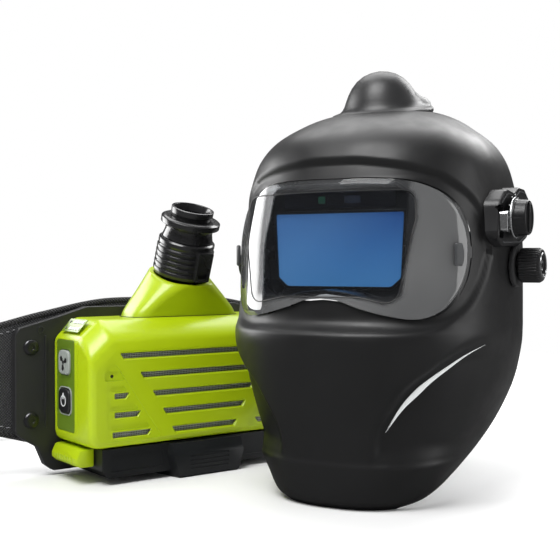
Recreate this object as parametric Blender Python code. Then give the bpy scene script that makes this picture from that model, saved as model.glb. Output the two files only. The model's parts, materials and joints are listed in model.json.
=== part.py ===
"""Powered air respirator: a welding helmet with its auto-darkening filter, headgear and breathing hose,
and the belt-worn blower unit that feeds it. Metres, +Z up, everything stands on z = 0.

The origin is the middle of the battery's flat underside. The helmet faces -Y and its flip axis runs
along X. The blower's own front is -Y turned by BLOWER_YAW about the origin."""

import math

import bmesh
import bpy
from mathutils import Matrix, Vector

# Placing of the two units
BLOWER_YAW = math.radians(65)
HELMET_X, HELMET_Y = 0.184, 0.0265
GAP = 0.0003                      # clearance between pieces that touch

# Helmet shell, in the helmet's own frame: Y = 0 and Z = PIVOT_Z is the flip axis
PIVOT_Z = 0.184
SHELL_WALL = 0.003
SHELL_SIDES = 44                  # corners of one horizontal section
SECTION_POWER = 2.45              # superellipse exponent of the horizontal sections
CROWN_TOP_Z, CROWN_TOP_Y = 0.318, 0.036
CROWN_EDGE_Y, SIDE_EDGE_Y = 0.066, 0.051
# lower edge of the side, as (y, z), from the chin up to the rear edge
JAW_LINE = [(-0.086, 0.0010), (-0.068, 0.0070), (-0.048, 0.0150), (-0.028, 0.0240), (-0.007, 0.034),
            (0.013, 0.047), (0.032, 0.062), (0.046, 0.076), (SIDE_EDGE_Y, 0.090)]

# height, half width, reach ahead of the axis, reach behind it, y of the widest place
SHELL_SECTIONS = [
    (0.000, 0.056, 0.105, 0.038, -0.045),
    (0.006, 0.063, 0.1105, 0.052, -0.043),
    (0.020, 0.072, 0.1135, 0.070, -0.038),
    (0.040, 0.0845, 0.117, 0.088, -0.028),
    (0.063, 0.096, 0.1215, 0.104, -0.014),
    (0.090, 0.106, 0.127, 0.115, -0.004),
    (0.118, 0.111, 0.1335, 0.122, 0.000),
    (0.133, 0.112, 0.134, 0.122, 0.000),
    (0.142, 0.112, 0.126, 0.122, 0.000),
    (0.155, 0.112, 0.124, 0.122, 0.000),
    (0.178, 0.112, 0.121, 0.120, 0.000),
    (0.205, 0.112, 0.118, 0.116, 0.000),
    (0.230, 0.109, 0.112, 0.110, 0.000),
    (0.252, 0.105, 0.106, 0.102, 0.002),
    (0.270, 0.099, 0.099, 0.093, 0.004),
    (0.285, 0.088, 0.087, 0.086, 0.008),
    (0.297, 0.072, 0.068, 0.083, 0.014),
    (0.307, 0.056, 0.042, 0.081, 0.022),
    (0.313, 0.040, 0.012, 0.076, 0.030),
    (0.3165, 0.021, -0.014, 0.058, 0.035),
]

# Visor opening, seen from the front: half outline as (x, z), from the middle of the top
VISOR_HALF = 0.097
VISOR_TOP = [(0.0, 0.249), (0.034, 0.249), (0.060, 0.2465), (0.078, 0.240), (0.090, 0.2285),
             (VISOR_HALF, 0.212)]
VISOR_BOTTOM = [(0.0, 0.159), (0.014, 0.1575), (0.030, 0.152), (0.052, 0.1465), (0.070, 0.1445),
                (0.084, 0.149), (0.093, 0.161), (VISOR_HALF, 0.176)]
LENS_THICK = 0.002
LATCH_X, LATCH_Z = 0.0915, 0.192

# Filter cassette
CASSETTE_BACK_Y = -0.0845
CASSETTE_FLOOR_Y = -0.0885
CASSETTE_HALF = [(0.0, 0.246), (0.050, 0.246), (0.063, 0.238), (0.068, 0.222), (0.067, 0.196),
                 (0.062, 0.164), (0.054, 0.1545), (0.040, 0.155), (0.018, 0.161), (0.0, 0.163)]
CASSETTE_POCKET = [(0.0, 0.243), (0.049, 0.243), (0.060, 0.236), (0.065, 0.221), (0.064, 0.197),
                   (0.0595, 0.166), (0.053, 0.1575), (0.041, 0.158), (0.019, 0.164), (0.0, 0.166)]
GLASS_HALF = [(0.0, 0.2245), (0.0545, 0.2245), (0.0520, 0.1745), (0.0440, 0.1675), (0.0, 0.1675)]

# Pivots and side controls
KNOB_RADIUS = 0.0138
WASHER_X = 0.1124
KNOB_X0, KNOB_X1 = 0.1168, 0.1355
BOLT_RADIUS = 0.0045
ARM_X = 0.0785
CONTROL_X = 0.1200
CONTROL_OUTLINE = [(-0.055, 0.206), (-0.051, 0.232), (-0.036, 0.243), (-0.026, 0.2415), (-0.019, 0.2445),
                   (-0.006, 0.2445), (0.008, 0.240), (0.020, 0.232), (0.022, 0.212), (0.012, 0.206),
                   (-0.012, 0.199), (-0.044, 0.198)]
SHADE_YZ = (-0.028, 0.2205)
DIAL_YZ = (0.007, 0.2255)
SLIDER_YZ = (-0.0475, 0.2170)

# Headgear
BAND_CENTRE_Y, BAND_HALF_X, BAND_HALF_Y = 0.028, 0.074, 0.090
BAND_FRONT_Z, BAND_REAR_Z = 0.206, 0.166
BAND_HEIGHT, BAND_THICK = 0.026, 0.0024
HOSE_RADIUS = 0.020
HOSE_PATH = [(-0.040, 0.1335, 0.1200), (-0.039, 0.137, 0.085), (-0.037, 0.152, 0.047),
             (-0.040, 0.188, 0.0250), (-0.055, 0.235, 0.0215), (-0.088, 0.290, 0.0215),
             (-0.135, 0.335, 0.0215), (-0.190, 0.345, 0.0215)]

# Blower unit, in its own frame: front is -Y, left end is -X
HALF_WIDTH = 0.112
HOUSING_Y0, HOUSING_Y1 = -0.012, 0.035
COVER_Y0 = -0.036
CASE_Z0, CASE_Z1 = 0.031, 0.138
CASE_CHAMFER = 0.015
CASE_WALL = 0.0025
SLOT_HEIGHT = 0.0046
# height and half width of each middle slot, then the reach of the outer slots in the same row
SLOT_ROWS = [(0.1080, 0.084, None), (0.0910, 0.065, None), (0.0745, 0.053, (0.075, 0.089)),
             (0.0585, 0.043, (0.064, 0.089)), (0.0420, 0.034, (0.054, 0.091))]
BATTERY_Z = 0.0305
OUTLET_TILT = math.radians(20)
RIDGES = 5                        # finger ridges round the outlet socket
OUTLET_BASE = (0.0, 0.007, 0.174)
FAN_CENTRE = (0.0, 0.084)         # x, z of the fan's shaft
FAN_RADIUS = 0.034
BELT_Y = 0.0478                   # plan line of the belt behind the blower
BELT_REACH, BELT_DEPTH, BELT_CORNER = 0.250, 0.170, 0.070
PAD_END_X = 0.100
BELT_THICK, WEB_THICK = 0.007, 0.0022
RIVET_X = 0.133


# ---------------------------------------------------------------- small tools

def clear_scene():
    for old in list(bpy.data.objects):
        bpy.data.objects.remove(old, do_unlink=True)


def empty(name, place, turn=0.0):
    obj = bpy.data.objects.new(name, None)
    bpy.context.collection.objects.link(obj)
    obj.location = place
    obj.rotation_euler = (0, 0, turn)
    return obj


def material(name, colour, roughness, metallic=0.0):
    made = bpy.data.materials.get(name) or bpy.data.materials.new(name)
    made.use_nodes = True
    shader = made.node_tree.nodes["Principled BSDF"]
    shader.inputs["Base Color"].default_value = (*colour, 1)
    shader.inputs["Roughness"].default_value = roughness
    shader.inputs["Metallic"].default_value = metallic
    return made


def add(name, mesh_data, parent, look=None, place=(0, 0, 0), turn=None, smooth=35):
    """A new object from a bmesh, shaded smooth except at edges sharper than `smooth` degrees."""
    mesh = bpy.data.meshes.new(name)
    bmesh.ops.recalc_face_normals(mesh_data, faces=mesh_data.faces)
    mesh_data.to_mesh(mesh)
    mesh_data.free()
    mesh.shade_smooth()
    mesh.set_sharp_from_angle(angle=math.radians(smooth))
    obj = bpy.data.objects.new(name, mesh)
    bpy.context.collection.objects.link(obj)
    obj.parent = parent
    obj.location = place
    if turn:
        obj.rotation_euler = turn
    if look:
        mesh.materials.append(look)
    return obj


def cutter(obj):
    obj.hide_render = True
    obj.display_type = "WIRE"
    return obj


def boolean(obj, tool, operation="DIFFERENCE"):
    step = obj.modifiers.new(tool.name, "BOOLEAN")
    step.operation = operation
    step.solver = "EXACT"
    step.object = tool
    return obj


def bevel(obj, width, segments=2, angle=40):
    step = obj.modifiers.new("bevel", "BEVEL")
    step.width = width
    step.segments = segments
    step.limit_method = "ANGLE"
    step.angle_limit = math.radians(angle)
    return obj


def curve_through(points):
    """A smooth function through (position, value, value, ...) rows: a cubic with Catmull-Rom slopes."""
    keys = [row[0] for row in points]

    def value(at):
        at = min(max(at, keys[0]), keys[-1])
        i = max(k for k in range(len(keys) - 1) if keys[k] <= at)
        step = keys[i + 1] - keys[i]
        t = (at - keys[i]) / step
        out = []
        for column in range(1, len(points[0])):
            here, there = points[i][column], points[i + 1][column]
            slopes = []
            for k in (i, i + 1):
                low, high = max(k - 1, 0), min(k + 1, len(keys) - 1)
                slopes.append((points[high][column] - points[low][column]) / (keys[high] - keys[low]) * step)
            out.append((2 * t**3 - 3 * t**2 + 1) * here + (t**3 - 2 * t**2 + t) * slopes[0]
                       + (3 * t**2 - 2 * t**3) * there + (t**3 - t**2) * slopes[1])
        return out

    return value


def loft(rings, closed_ends=True, bm=None):
    """A skin over rings of equal length, with flat ends."""
    bm = bm or bmesh.new()
    rows = [[bm.verts.new(p) for p in ring] for ring in rings]
    count = len(rows[0])
    for low, high in zip(rows, rows[1:]):
        for i in range(count):
            j = (i + 1) % count
            bm.faces.new((low[i], low[j], high[j], high[i]))
    if closed_ends:
        bm.faces.new(list(reversed(rows[0])))
        bm.faces.new(rows[-1])
    else:
        for i in range(count):
            j = (i + 1) % count
            bm.faces.new((rows[-1][i], rows[-1][j], rows[0][j], rows[0][i]))
    return bm


def prism(outline, low, high, axis="y", bm=None):
    """An outline of (u, v) pairs extruded from low to high along an axis. The pairs are (x, z) along y,
    (y, z) along x and (x, y) along z."""
    place = {"x": lambda u, v, w: (w, u, v),
             "y": lambda u, v, w: (u, w, v),
             "z": lambda u, v, w: (u, v, w)}[axis]
    return loft([[place(u, v, w) for u, v in outline] for w in (low, high)], bm=bm)


def box(low, high, bm=None):
    outline = [(low[0], low[1]), (high[0], low[1]), (high[0], high[1]), (low[0], high[1])]
    return prism(outline, low[2], high[2], "z", bm)


def mirrored(half):
    """A full outline from its right half, which starts and ends on x = 0."""
    return half + [(-x, z) for x, z in reversed(half) if abs(x) > 1e-6]


def turned(profile, sides, axis="z", centre=(0, 0, 0), ripple=None, bm=None):
    """A ring or a solid turned about an axis. The profile is a closed loop of (radius, height).
    Corners at radius 0 become poles. ripple(angle, radius) may change the radius."""
    bm = bm or bmesh.new()
    rows = []
    for radius, height in profile:
        if radius < 1e-7:
            rows.append([bm.verts.new((0, 0, height))] * sides)
            continue
        row = []
        for i in range(sides):
            angle = 2 * math.pi * i / sides
            r = ripple(angle, radius) if ripple else radius
            row.append(bm.verts.new((r * math.cos(angle), r * math.sin(angle), height)))
        rows.append(row)
    for k, low in enumerate(rows):
        high = rows[(k + 1) % len(rows)]
        for i in range(sides):
            j = (i + 1) % sides
            face = []
            for vert in (low[i], low[j], high[j], high[i]):
                if vert not in face:
                    face.append(vert)
            if len(face) > 2:
                bm.faces.new(face)
    quarter = math.pi / 2
    spin = {"z": Matrix(),
            "x": Matrix.Rotation(quarter, 4, "Y"), "-x": Matrix.Rotation(-quarter, 4, "Y"),
            "y": Matrix.Rotation(-quarter, 4, "X"), "-y": Matrix.Rotation(quarter, 4, "X")}[axis]
    bmesh.ops.transform(bm, matrix=Matrix.Translation(centre) @ spin, verts=bm.verts)
    return bm


def solid_turned(profile, sides, axis="z", centre=(0, 0, 0), ripple=None):
    """A solid of revolution from (radius, height) corners, closed on its axis at both ends."""
    return turned([(0, profile[0][1])] + profile + [(0, profile[-1][1])], sides, axis, centre, ripple)


def rounded_rectangle(half_u, half_v, radius, centre=(0, 0), steps=3):
    points = []
    for quarter, (su, sv) in enumerate([(1, 1), (-1, 1), (-1, -1), (1, -1)]):
        for i in range(steps + 1):
            angle = math.pi / 2 * (quarter + i / steps)
            points.append((centre[0] + su * (half_u - radius) + radius * math.cos(angle),
                           centre[1] + sv * (half_v - radius) + radius * math.sin(angle)))
    return points


def tube_along(path, radius, sides, ripple=None, steps_per_span=3):
    """A solid round bar along a smooth path."""
    curve = curve_through([(i, *p) for i, p in enumerate(path)])
    count = (len(path) - 1) * steps_per_span
    centres = [Vector(curve(i / steps_per_span)) for i in range(count + 1)]
    rings = []
    side = Vector((1, 0, 0))
    for i, centre in enumerate(centres):
        ahead = centres[min(i + 1, count)] - centres[max(i - 1, 0)]
        ahead.normalize()
        side = (side - ahead * side.dot(ahead)).normalized()
        up = ahead.cross(side)
        r = ripple(i) if ripple else radius
        rings.append([centre + r * (side * math.cos(a) + up * math.sin(a))
                      for a in (2 * math.pi * k / sides for k in range(sides))])
    return loft(rings)


# ---------------------------------------------------------------- helmet shell surface

section_at = curve_through(SHELL_SECTIONS)


def shell_point(z, angle, inset=0.0):
    """A point of the shell's outer skin, inset inwards; angle 0 is the rear and 180 degrees the face."""
    half, front, rear, middle = section_at(z)
    power = 2 / SECTION_POWER
    across, along = math.sin(angle), math.cos(angle)
    reach = (rear - middle) if along > 0 else (front + middle)
    return Vector(((half - inset) * math.copysign(abs(across)**power, across),
                   middle + (reach - inset) * math.copysign(abs(along)**power, along), z))


def shell_ring(z, inset=0.0):
    """One horizontal section of the shell."""
    return [shell_point(z, 2 * math.pi * (i + 0.5) / SHELL_SIDES, inset) for i in range(SHELL_SIDES)]


def shell_front_y(x, z, inset=0.0):
    """y of the shell's front surface at x and z."""
    half, front, _, middle = section_at(z)
    share = min(abs(x) / (half - inset), 1.0)
    return middle - (front + middle - inset) * (1 - share**SECTION_POWER)**(1 / SECTION_POWER)


def egg(inset=0.0, floor=None):
    """The closed body inside the shell's outer skin, or inside a skin inset from it."""
    bm = bmesh.new()
    heights = [row[0] for row in SHELL_SECTIONS]
    rings = []
    if floor is not None:
        rings.append([Vector((p.x, p.y, floor)) for p in shell_ring(heights[0], inset)])
    for z in heights:
        crown = min(1.0, max(0.0, (z - 0.25) / 0.06))    # the crown's skin is inset downwards
        ring = shell_ring(z, inset * (1 - 0.6 * crown))
        rings.append([Vector((p.x, p.y, z - inset * crown)) for p in ring])
    loft(rings, bm=bm)
    bm.faces.ensure_lookup_table()
    top = max(bm.faces, key=lambda f: f.calc_center_median().z)
    bmesh.ops.poke(bm, faces=[top], offset=CROWN_TOP_Z - SHELL_SECTIONS[-1][0])
    return bm


def visor_outline(grow=0.0):
    top = curve_through(VISOR_TOP)
    bottom = curve_through(VISOR_BOTTOM)
    xs = [VISOR_HALF * math.sin(math.pi / 2 * i / 10) for i in range(11)]
    wider = 1 + grow / VISOR_HALF
    half = [(x * wider, top(x)[0] + grow) for x in xs]
    half += [(x * wider, bottom(x)[0] - grow) for x in reversed(xs)]
    return mirrored(half)


# ---------------------------------------------------------------- helmet

def make_shell(parent):
    black = material("shell_black", (0.012, 0.012, 0.013), 0.42)
    shell = add("helmet_shell", egg(), parent, black)
    hollow = cutter(add("cut_hollow", egg(SHELL_WALL, floor=-0.01), parent))
    boolean(shell, hollow)
    behind = [(SIDE_EDGE_Y, 0.215), (CROWN_EDGE_Y, 0.36), (0.2, 0.36), (0.2, -0.05), (-0.090, -0.05)]
    boolean(shell, cutter(add("cut_rear", prism(behind + JAW_LINE, -0.2, 0.2, "x"), parent)))
    boolean(shell, cutter(add("cut_visor", prism(visor_outline(0.0004), -0.2, -0.03), parent)))
    hole = [(BOLT_RADIUS + 0.0006, -0.15), (BOLT_RADIUS + 0.0006, 0.15)]
    bore = add("cut_pivot", solid_turned(hole, 16, "x", (0, 0, PIVOT_Z)), parent)
    boolean(shell, cutter(bore))


def make_dome(parent):
    """The air hood on the crown: a dome on a round flange, tipped forwards with the crown."""
    dark = material("dome_black", (0.016, 0.016, 0.017), 0.38)
    outer = [(0.0425, 0.0), (0.0425, 0.003), (0.038, 0.0052), (0.0345, 0.009), (0.033, 0.016),
             (0.0285, 0.0265), (0.020, 0.0335), (0.010, 0.0368), (0.0, 0.0376)]
    inner = [(0.0, 0.0352), (0.0185, 0.0312), (0.0268, 0.0245), (0.0305, 0.0155), (0.0315, 0.008),
             (0.0315, 0.0)]
    tip = (math.radians(12), 0, 0)
    dome = add("air_dome", turned(outer + inner, 32), parent, dark, (0, -0.001, 0.3100), tip)
    seat = cutter(add("cut_dome_seat", egg(-0.0004), parent))
    boolean(dome, seat)
    hood = add("cut_dome_hood", box((-0.016, 0.0335, 0.0042), (0.016, 0.06, 0.0075)), dome)
    boolean(dome, cutter(hood))


def make_lens(parent):
    """The curved smoke-grey cover lens that fills the visor opening."""
    smoke = material("lens_smoke", (0.10, 0.105, 0.11), 0.08)
    top = curve_through(VISOR_TOP)
    bottom = curve_through(VISOR_BOTTOM)
    xs = [(VISOR_HALF - GAP) * math.sin(math.pi / 2 * i / 10) for i in range(-10, 11)]
    rows = 6
    rings = []
    for x in xs:
        high, low = top(abs(x))[0], bottom(abs(x))[0]
        column = [low + (high - low) * i / rows for i in range(rows + 1)]
        front = [Vector((x, shell_front_y(x, z) + 0.0004, z)) for z in column]
        back = [Vector((x, shell_front_y(x, z) + 0.0004 + LENS_THICK, z)) for z in reversed(column)]
        rings.append(front + back)
    add("cover_lens", loft(rings), parent, smoke)


def make_cassette(parent):
    """The tray behind the lens with the darkening filter, its inner cover, sensor strip and board."""
    frame_look = material("cassette_black", (0.01, 0.01, 0.011), 0.3)
    tray = add("cassette_frame", prism(mirrored(CASSETTE_HALF), -0.13, CASSETTE_BACK_Y), parent, frame_look)
    inside = cutter(add("cut_cassette_front", egg(0.0036), parent))
    boolean(tray, inside, "INTERSECT")
    pocket = add("cut_cassette_pocket", prism(mirrored(CASSETTE_POCKET), -0.14, CASSETTE_FLOOR_Y), parent)
    boolean(tray, cutter(pocket))
    window = mirrored([(x + (GAP if x else 0), z + (GAP if z > 0.2 else -GAP)) for x, z in GLASS_HALF])
    boolean(tray, cutter(add("cut_cassette_window", prism(window, -0.14, -0.07), parent)))

    glass = material("filter_blue", (0.10, 0.24, 0.55), 0.12)
    add("filter_glass", prism(mirrored(GLASS_HALF), -0.0900, -0.0852), parent, glass)
    strip = material("sensor_gloss", (0.02, 0.02, 0.025), 0.1)
    sensor = rounded_rectangle(0.047, 0.0062, 0.002, (0, 0.2345), 2)
    add("sensor_window", prism(sensor, -0.0908, CASSETTE_FLOOR_Y - GAP), parent, strip)
    clear = material("clear_cover", (0.75, 0.78, 0.80), 0.08)
    cover = rounded_rectangle(0.058, 0.032, 0.004, (0, 0.1965), 2)
    add("inner_cover_lens", prism(cover, CASSETTE_BACK_Y + GAP, -0.0830), parent, clear)
    board = material("circuit_green", (0.02, 0.13, 0.05), 0.45)
    card = rounded_rectangle(0.050, 0.0060, 0.001, (0, 0.2370), 1)
    add("filter_circuit_board", prism(card, CASSETTE_BACK_Y + GAP, -0.0828), parent, board)


def make_latches(parent):
    """Two finger tabs that hold the lens, on its rim at both sides."""
    grey = material("latch_grey", (0.05, 0.052, 0.055), 0.4)
    for side, sign in (("left", 1), ("right", -1)):
        near, far = shell_front_y(LATCH_X - 0.002, LATCH_Z), shell_front_y(LATCH_X + 0.002, LATCH_Z)
        lean = math.atan2(far - near, 0.004)
        outline = [(-0.0035, -0.0085), (0.0030, -0.0085), (0.0045, -0.0030), (0.0045, 0.0030),
                   (0.0030, 0.0085), (-0.0035, 0.0085)]
        out = Vector((math.sin(lean), -math.cos(lean))) * 0.0008
        obj = add(f"lens_latch_{side}", prism(outline, -0.0030, 0.0), parent, grey,
                  (sign * (LATCH_X + out.x), (near + far) / 2 + out.y, LATCH_Z), (0, 0, sign * lean))
        bevel(obj, 0.0009, 1)


def make_pivots(parent):
    """Washer and clamping knob at each pivot; the knobs turn on the flip axis."""
    rubber = material("washer_rubber", (0.014, 0.014, 0.014), 0.7)
    black = material("knob_black", (0.013, 0.013, 0.014), 0.45)
    bore = BOLT_RADIUS + 0.0005
    washer = [(0.0175, 0.0), (0.0175, 0.0030), (0.0165, 0.0040), (bore, 0.0040), (bore, 0.0)]
    length = KNOB_X1 - KNOB_X0
    knob = [(bore, 0.0), (KNOB_RADIUS * 0.86, 0.0), (KNOB_RADIUS, 0.0022), (KNOB_RADIUS, length - 0.003),
            (KNOB_RADIUS * 0.90, length - 0.0004), (KNOB_RADIUS * 0.72, length),
            (KNOB_RADIUS * 0.62, length - 0.0016), (0.0, length - 0.0016), (0.0, 0.0140), (bore, 0.0140)]

    def grooves(angle, radius):
        return radius * (1 - 0.045 * (math.cos(18 * angle) < 0)) if radius > KNOB_RADIUS * 0.95 else radius

    for side, sign, axis in (("left", 1, "x"), ("right", -1, "-x")):
        add(f"pivot_washer_{side}", turned(washer, 24, axis, (sign * WASHER_X, 0, PIVOT_Z)), parent, rubber)
        add(f"pivot_knob_{side}", turned(knob, 36, axis, ripple=grooves), parent, black,
            (sign * KNOB_X0, 0, PIVOT_Z))


def make_controls(parent):
    """Control unit on the wearer's left temple: housing, shade knob, sensitivity dial and mode slider."""
    black = material("control_black", (0.014, 0.014, 0.015), 0.4)
    silver = material("trim_silver", (0.55, 0.56, 0.57), 0.3, 1.0)
    housing = add("control_housing", prism(CONTROL_OUTLINE, 0.080, CONTROL_X, "x"), parent, black)
    boolean(housing, cutter(add("cut_control_seat", egg(-0.0004), parent)))
    slot_y, slot_z = SLIDER_YZ
    slot = box((CONTROL_X - 0.0028, slot_y - 0.0042, slot_z - 0.0125),
               (CONTROL_X + 0.01, slot_y + 0.0042, slot_z + 0.0125))
    boolean(housing, cutter(add("cut_slider_slot", slot, parent)))

    seat = CONTROL_X + GAP
    body = [(0.0146, 0.0), (0.0146, 0.0015), (0.0136, 0.0030), (0.0128, 0.0062), (0.0118, 0.0072)]
    knob = add("shade_knob", solid_turned(body, 32, "x"), parent, black, (seat, *SHADE_YZ))
    ridge = add("shade_ridge", prism(rounded_rectangle(0.0028, 0.0122, 0.0020), 0.0050, 0.0118, "x"), knob)
    boolean(knob, cutter(ridge), "UNION")
    dial = [(0.0082, 0.0), (0.0082, 0.0026), (0.0074, 0.0034), (0.0052, 0.0034), (0.0048, 0.0024)]
    add("sensitivity_dial", solid_turned(dial, 24, "x"), parent, silver, (seat, *DIAL_YZ))
    slider = box((-0.0018, -0.0036, -0.0080), (0.0022, 0.0036, 0.0080))
    bevel(add("mode_slider", slider, parent, silver, (CONTROL_X - 0.0004, slot_y, slot_z)), 0.0006, 1)


def make_face_seal(parent):
    """The soft seal inside the lower shell: a wall that leans in towards the face."""
    cloth = material("seal_fabric", (0.035, 0.036, 0.04), 0.9)
    heights = [0.016, 0.040, 0.066, 0.090]
    outer_inset = [0.0055, 0.0070, 0.0110, 0.0200]
    steps, reach, rise = 11, math.radians(112), 0.048
    rings = []
    for k in range(-steps, steps + 1):
        share = k / steps
        outer, inner = [], []
        for z, inset in zip(heights, outer_inset):
            for wall, extra in ((outer, 0.0), (inner, 0.004)):
                wall.append(shell_point(z + rise * share**2, math.pi + reach * share, inset + extra))
        rings.append(outer + list(reversed(inner)))
    add("face_seal", loft(rings), parent, cloth)


# ---------------------------------------------------------------- headgear

def band_point(angle, inset=0.0):
    """Plan place and middle height of the head band; angle 0 is the forehead."""
    x = (BAND_HALF_X - inset) * math.sin(angle)
    y = BAND_CENTRE_Y - (BAND_HALF_Y - inset) * math.cos(angle)
    share = (1 - math.cos(angle)) / 2
    return x, y, BAND_FRONT_Z + (BAND_REAR_Z - BAND_FRONT_Z) * share


def band_strip(first, last, steps, inset, thick, height):
    rings = []
    for i in range(steps + 1):
        angle = math.radians(first + (last - first) * i / steps)
        x0, y0, z = band_point(angle, inset)
        x1, y1, _ = band_point(angle, inset + thick)
        low, high = z - height / 2, z + height / 2
        rings.append([(x0, y0, low), (x0, y0, high), (x1, y1, high), (x1, y1, low)])
    return loft(rings)


def make_headgear(parent):
    grey = material("headband_grey", (0.055, 0.057, 0.06), 0.5)
    soft = material("sweatband_fabric", (0.02, 0.02, 0.022), 0.95)
    steel = material("bolt_steel", (0.5, 0.5, 0.5), 0.3, 1.0)
    add("headband", band_strip(-146, 146, 34, -BAND_THICK / 2, BAND_THICK, BAND_HEIGHT), parent, grey)
    add("sweatband", band_strip(-62, 62, 16, BAND_THICK / 2 + GAP, 0.0045, 0.030), parent, soft)

    strap = []
    for i in range(19):
        angle = math.pi * i / 18
        reach, rise = 0.0680, 0.052
        z0 = 0.196
        strap.append([(-(reach - dr) * math.cos(angle), 0.012 + dy, z0 + (rise - dr) * math.sin(angle))
                      for dr, dy in ((0, -0.010), (0, 0.010), (0.0018, 0.010), (0.0018, -0.010))])
    add("crown_strap", loft(strap), parent, grey)

    for side, sign, axis in (("left", 1, "x"), ("right", -1, "-x")):
        plate = prism([(-0.016, 0.166), (0.016, 0.166), (0.020, 0.176), (0.020, 0.196), (0.010, 0.212),
                       (-0.010, 0.212), (-0.020, 0.196), (-0.020, 0.176)],
                      *sorted((sign * ARM_X, sign * (ARM_X + 0.004))), "x")
        bevel(add(f"side_arm_{side}", plate, parent, grey), 0.0008, 1)
        bolt = [(0.009, 0.0), (0.009, 0.0250), (BOLT_RADIUS, 0.0254), (BOLT_RADIUS, 0.0460), (0.0038, 0.0468)]
        seat = (sign * (ARM_X + 0.004 + GAP), 0, PIVOT_Z)
        add(f"pivot_bolt_{side}", solid_turned(bolt, 16, axis, seat), parent, steel)


def make_ratchet(parent):
    """The size adjuster at the back of the head: gearbox, knob and the two band tails it draws in."""
    grey = material("headband_grey", (0.055, 0.057, 0.06), 0.5)
    black = material("knob_black", (0.013, 0.013, 0.014), 0.45)
    rear_y, z = 0.1175, 0.162
    face = rounded_rectangle(0.022, 0.018, 0.008, (0, z))
    case = add("ratchet_housing", prism(face, rear_y - 0.004, rear_y + 0.008), parent, grey)
    slot = box((-0.05, rear_y - 0.0014, z - 0.0092), (0.05, rear_y + 0.0024, z + 0.0092))
    boolean(case, cutter(add("cut_tail_slot", slot, parent)))
    tail_y = {"left": (rear_y - 0.0010, rear_y + 0.0002), "right": (rear_y + 0.0006, rear_y + 0.0018)}
    for side, sign in (("left", 1), ("right", -1)):
        y0, y1 = tail_y[side]
        x0, x1 = sorted((sign * -0.004, sign * 0.040))
        add(f"band_tail_{side}", box((x0, y0, z - 0.0088), (x1, y1, z + 0.0088)), parent, grey)

    def lobes(angle, radius):
        return radius * (1 + 0.05 * math.cos(8 * angle)) if radius > 0.014 else radius

    profile = [(0.011, 0.0), (0.0150, 0.0015), (0.0155, 0.0090), (0.0130, 0.0115)]
    add("ratchet_knob", solid_turned(profile, 32, "y", ripple=lobes), parent, black, (0, rear_y + 0.0084, z))


def make_duct_and_hose(parent):
    """Flat air duct over the back of the head, and the corrugated breathing hose plugged into it."""
    duct_look = material("duct_black", (0.02, 0.02, 0.021), 0.5)
    hose_look = material("hose_black", (0.018, 0.018, 0.019), 0.55)
    # y, z of the middle line, x of the middle, half width, half thickness
    stations = [(0.1320, 0.122, -0.040, 0.0150, 0.0130), (0.1290, 0.146, -0.040, 0.0150, 0.0080),
                (0.1272, 0.172, -0.040, 0.0155, 0.0060), (0.1130, 0.202, -0.034, 0.0175, 0.0055),
                (0.0930, 0.232, -0.022, 0.0195, 0.0055), (0.0680, 0.253, -0.008, 0.0215, 0.0055),
                (0.0420, 0.2635, 0.000, 0.0230, 0.0055), (0.0300, 0.2640, 0.000, 0.0240, 0.0060)]
    rings = []
    for i, (y, z, x, half, thick) in enumerate(stations):
        before, after = stations[max(i - 1, 0)], stations[min(i + 1, len(stations) - 1)]
        ahead = Vector((0, after[0] - before[0], after[1] - before[1])).normalized()
        out = Vector((0, ahead.z, -ahead.y))
        outline = rounded_rectangle(half, thick, min(thick * 0.95, half * 0.95), steps=4)
        rings.append([Vector((x + u, y, z)) + out * v for u, v in outline])
    duct = add("air_duct", loft(rings), parent, duct_look)
    bore_rings = []
    for ring in rings:
        middle = sum(ring, Vector()) / len(ring)
        bore_rings.append([middle + (p - middle) * 0.80 for p in ring])
    start = bore_rings[0][0] - bore_rings[1][0]
    finish = bore_rings[-1][0] - bore_rings[-2][0]
    bore_rings.insert(0, [p + start.normalized() * 0.01 for p in bore_rings[0]])
    bore_rings.append([p + finish.normalized() * 0.01 for p in bore_rings[-1]])
    boolean(duct, cutter(add("cut_duct_bore", loft(bore_rings), parent)))

    hose = tube_along(HOSE_PATH, HOSE_RADIUS, 14, lambda i: HOSE_RADIUS * (0.94 if i % 2 else 1.0), 4)
    add("breathing_hose", hose, parent, hose_look)
    end = Vector(HOSE_PATH[-1])
    ahead = (end - Vector(HOSE_PATH[-2])).normalized()
    plug = [(0.0140, 0.0), (0.0205, 0.0), (0.0210, 0.016), (0.0190, 0.020), (0.0172, 0.021), (0.0172, 0.036),
            (0.0140, 0.036)]
    turn = Vector((0, 0, 1)).rotation_difference(ahead).to_euler()
    add("hose_plug", turned(plug, 24), parent, duct_look, end + ahead * 0.0035, turn)


# ---------------------------------------------------------------- blower unit

def case_outline(inset=0.0, top_drop=0.0):
    """Front view of the blower case: a box with cut top corners and small round lower corners."""
    w, c = HALF_WIDTH - inset, CASE_CHAMFER
    low, high = CASE_Z0 + inset, CASE_Z1 - inset - top_drop
    right = [(0.0, high), (w - c - 0.005, high), (w - c, high - 0.0015), (w - 0.0035, high - c + 0.0020),
             (w, high - c - 0.004), (w, low + 0.010), (w - 0.003, low + 0.003), (w - 0.010, low), (0.0, low)]
    return mirrored(right)


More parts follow.
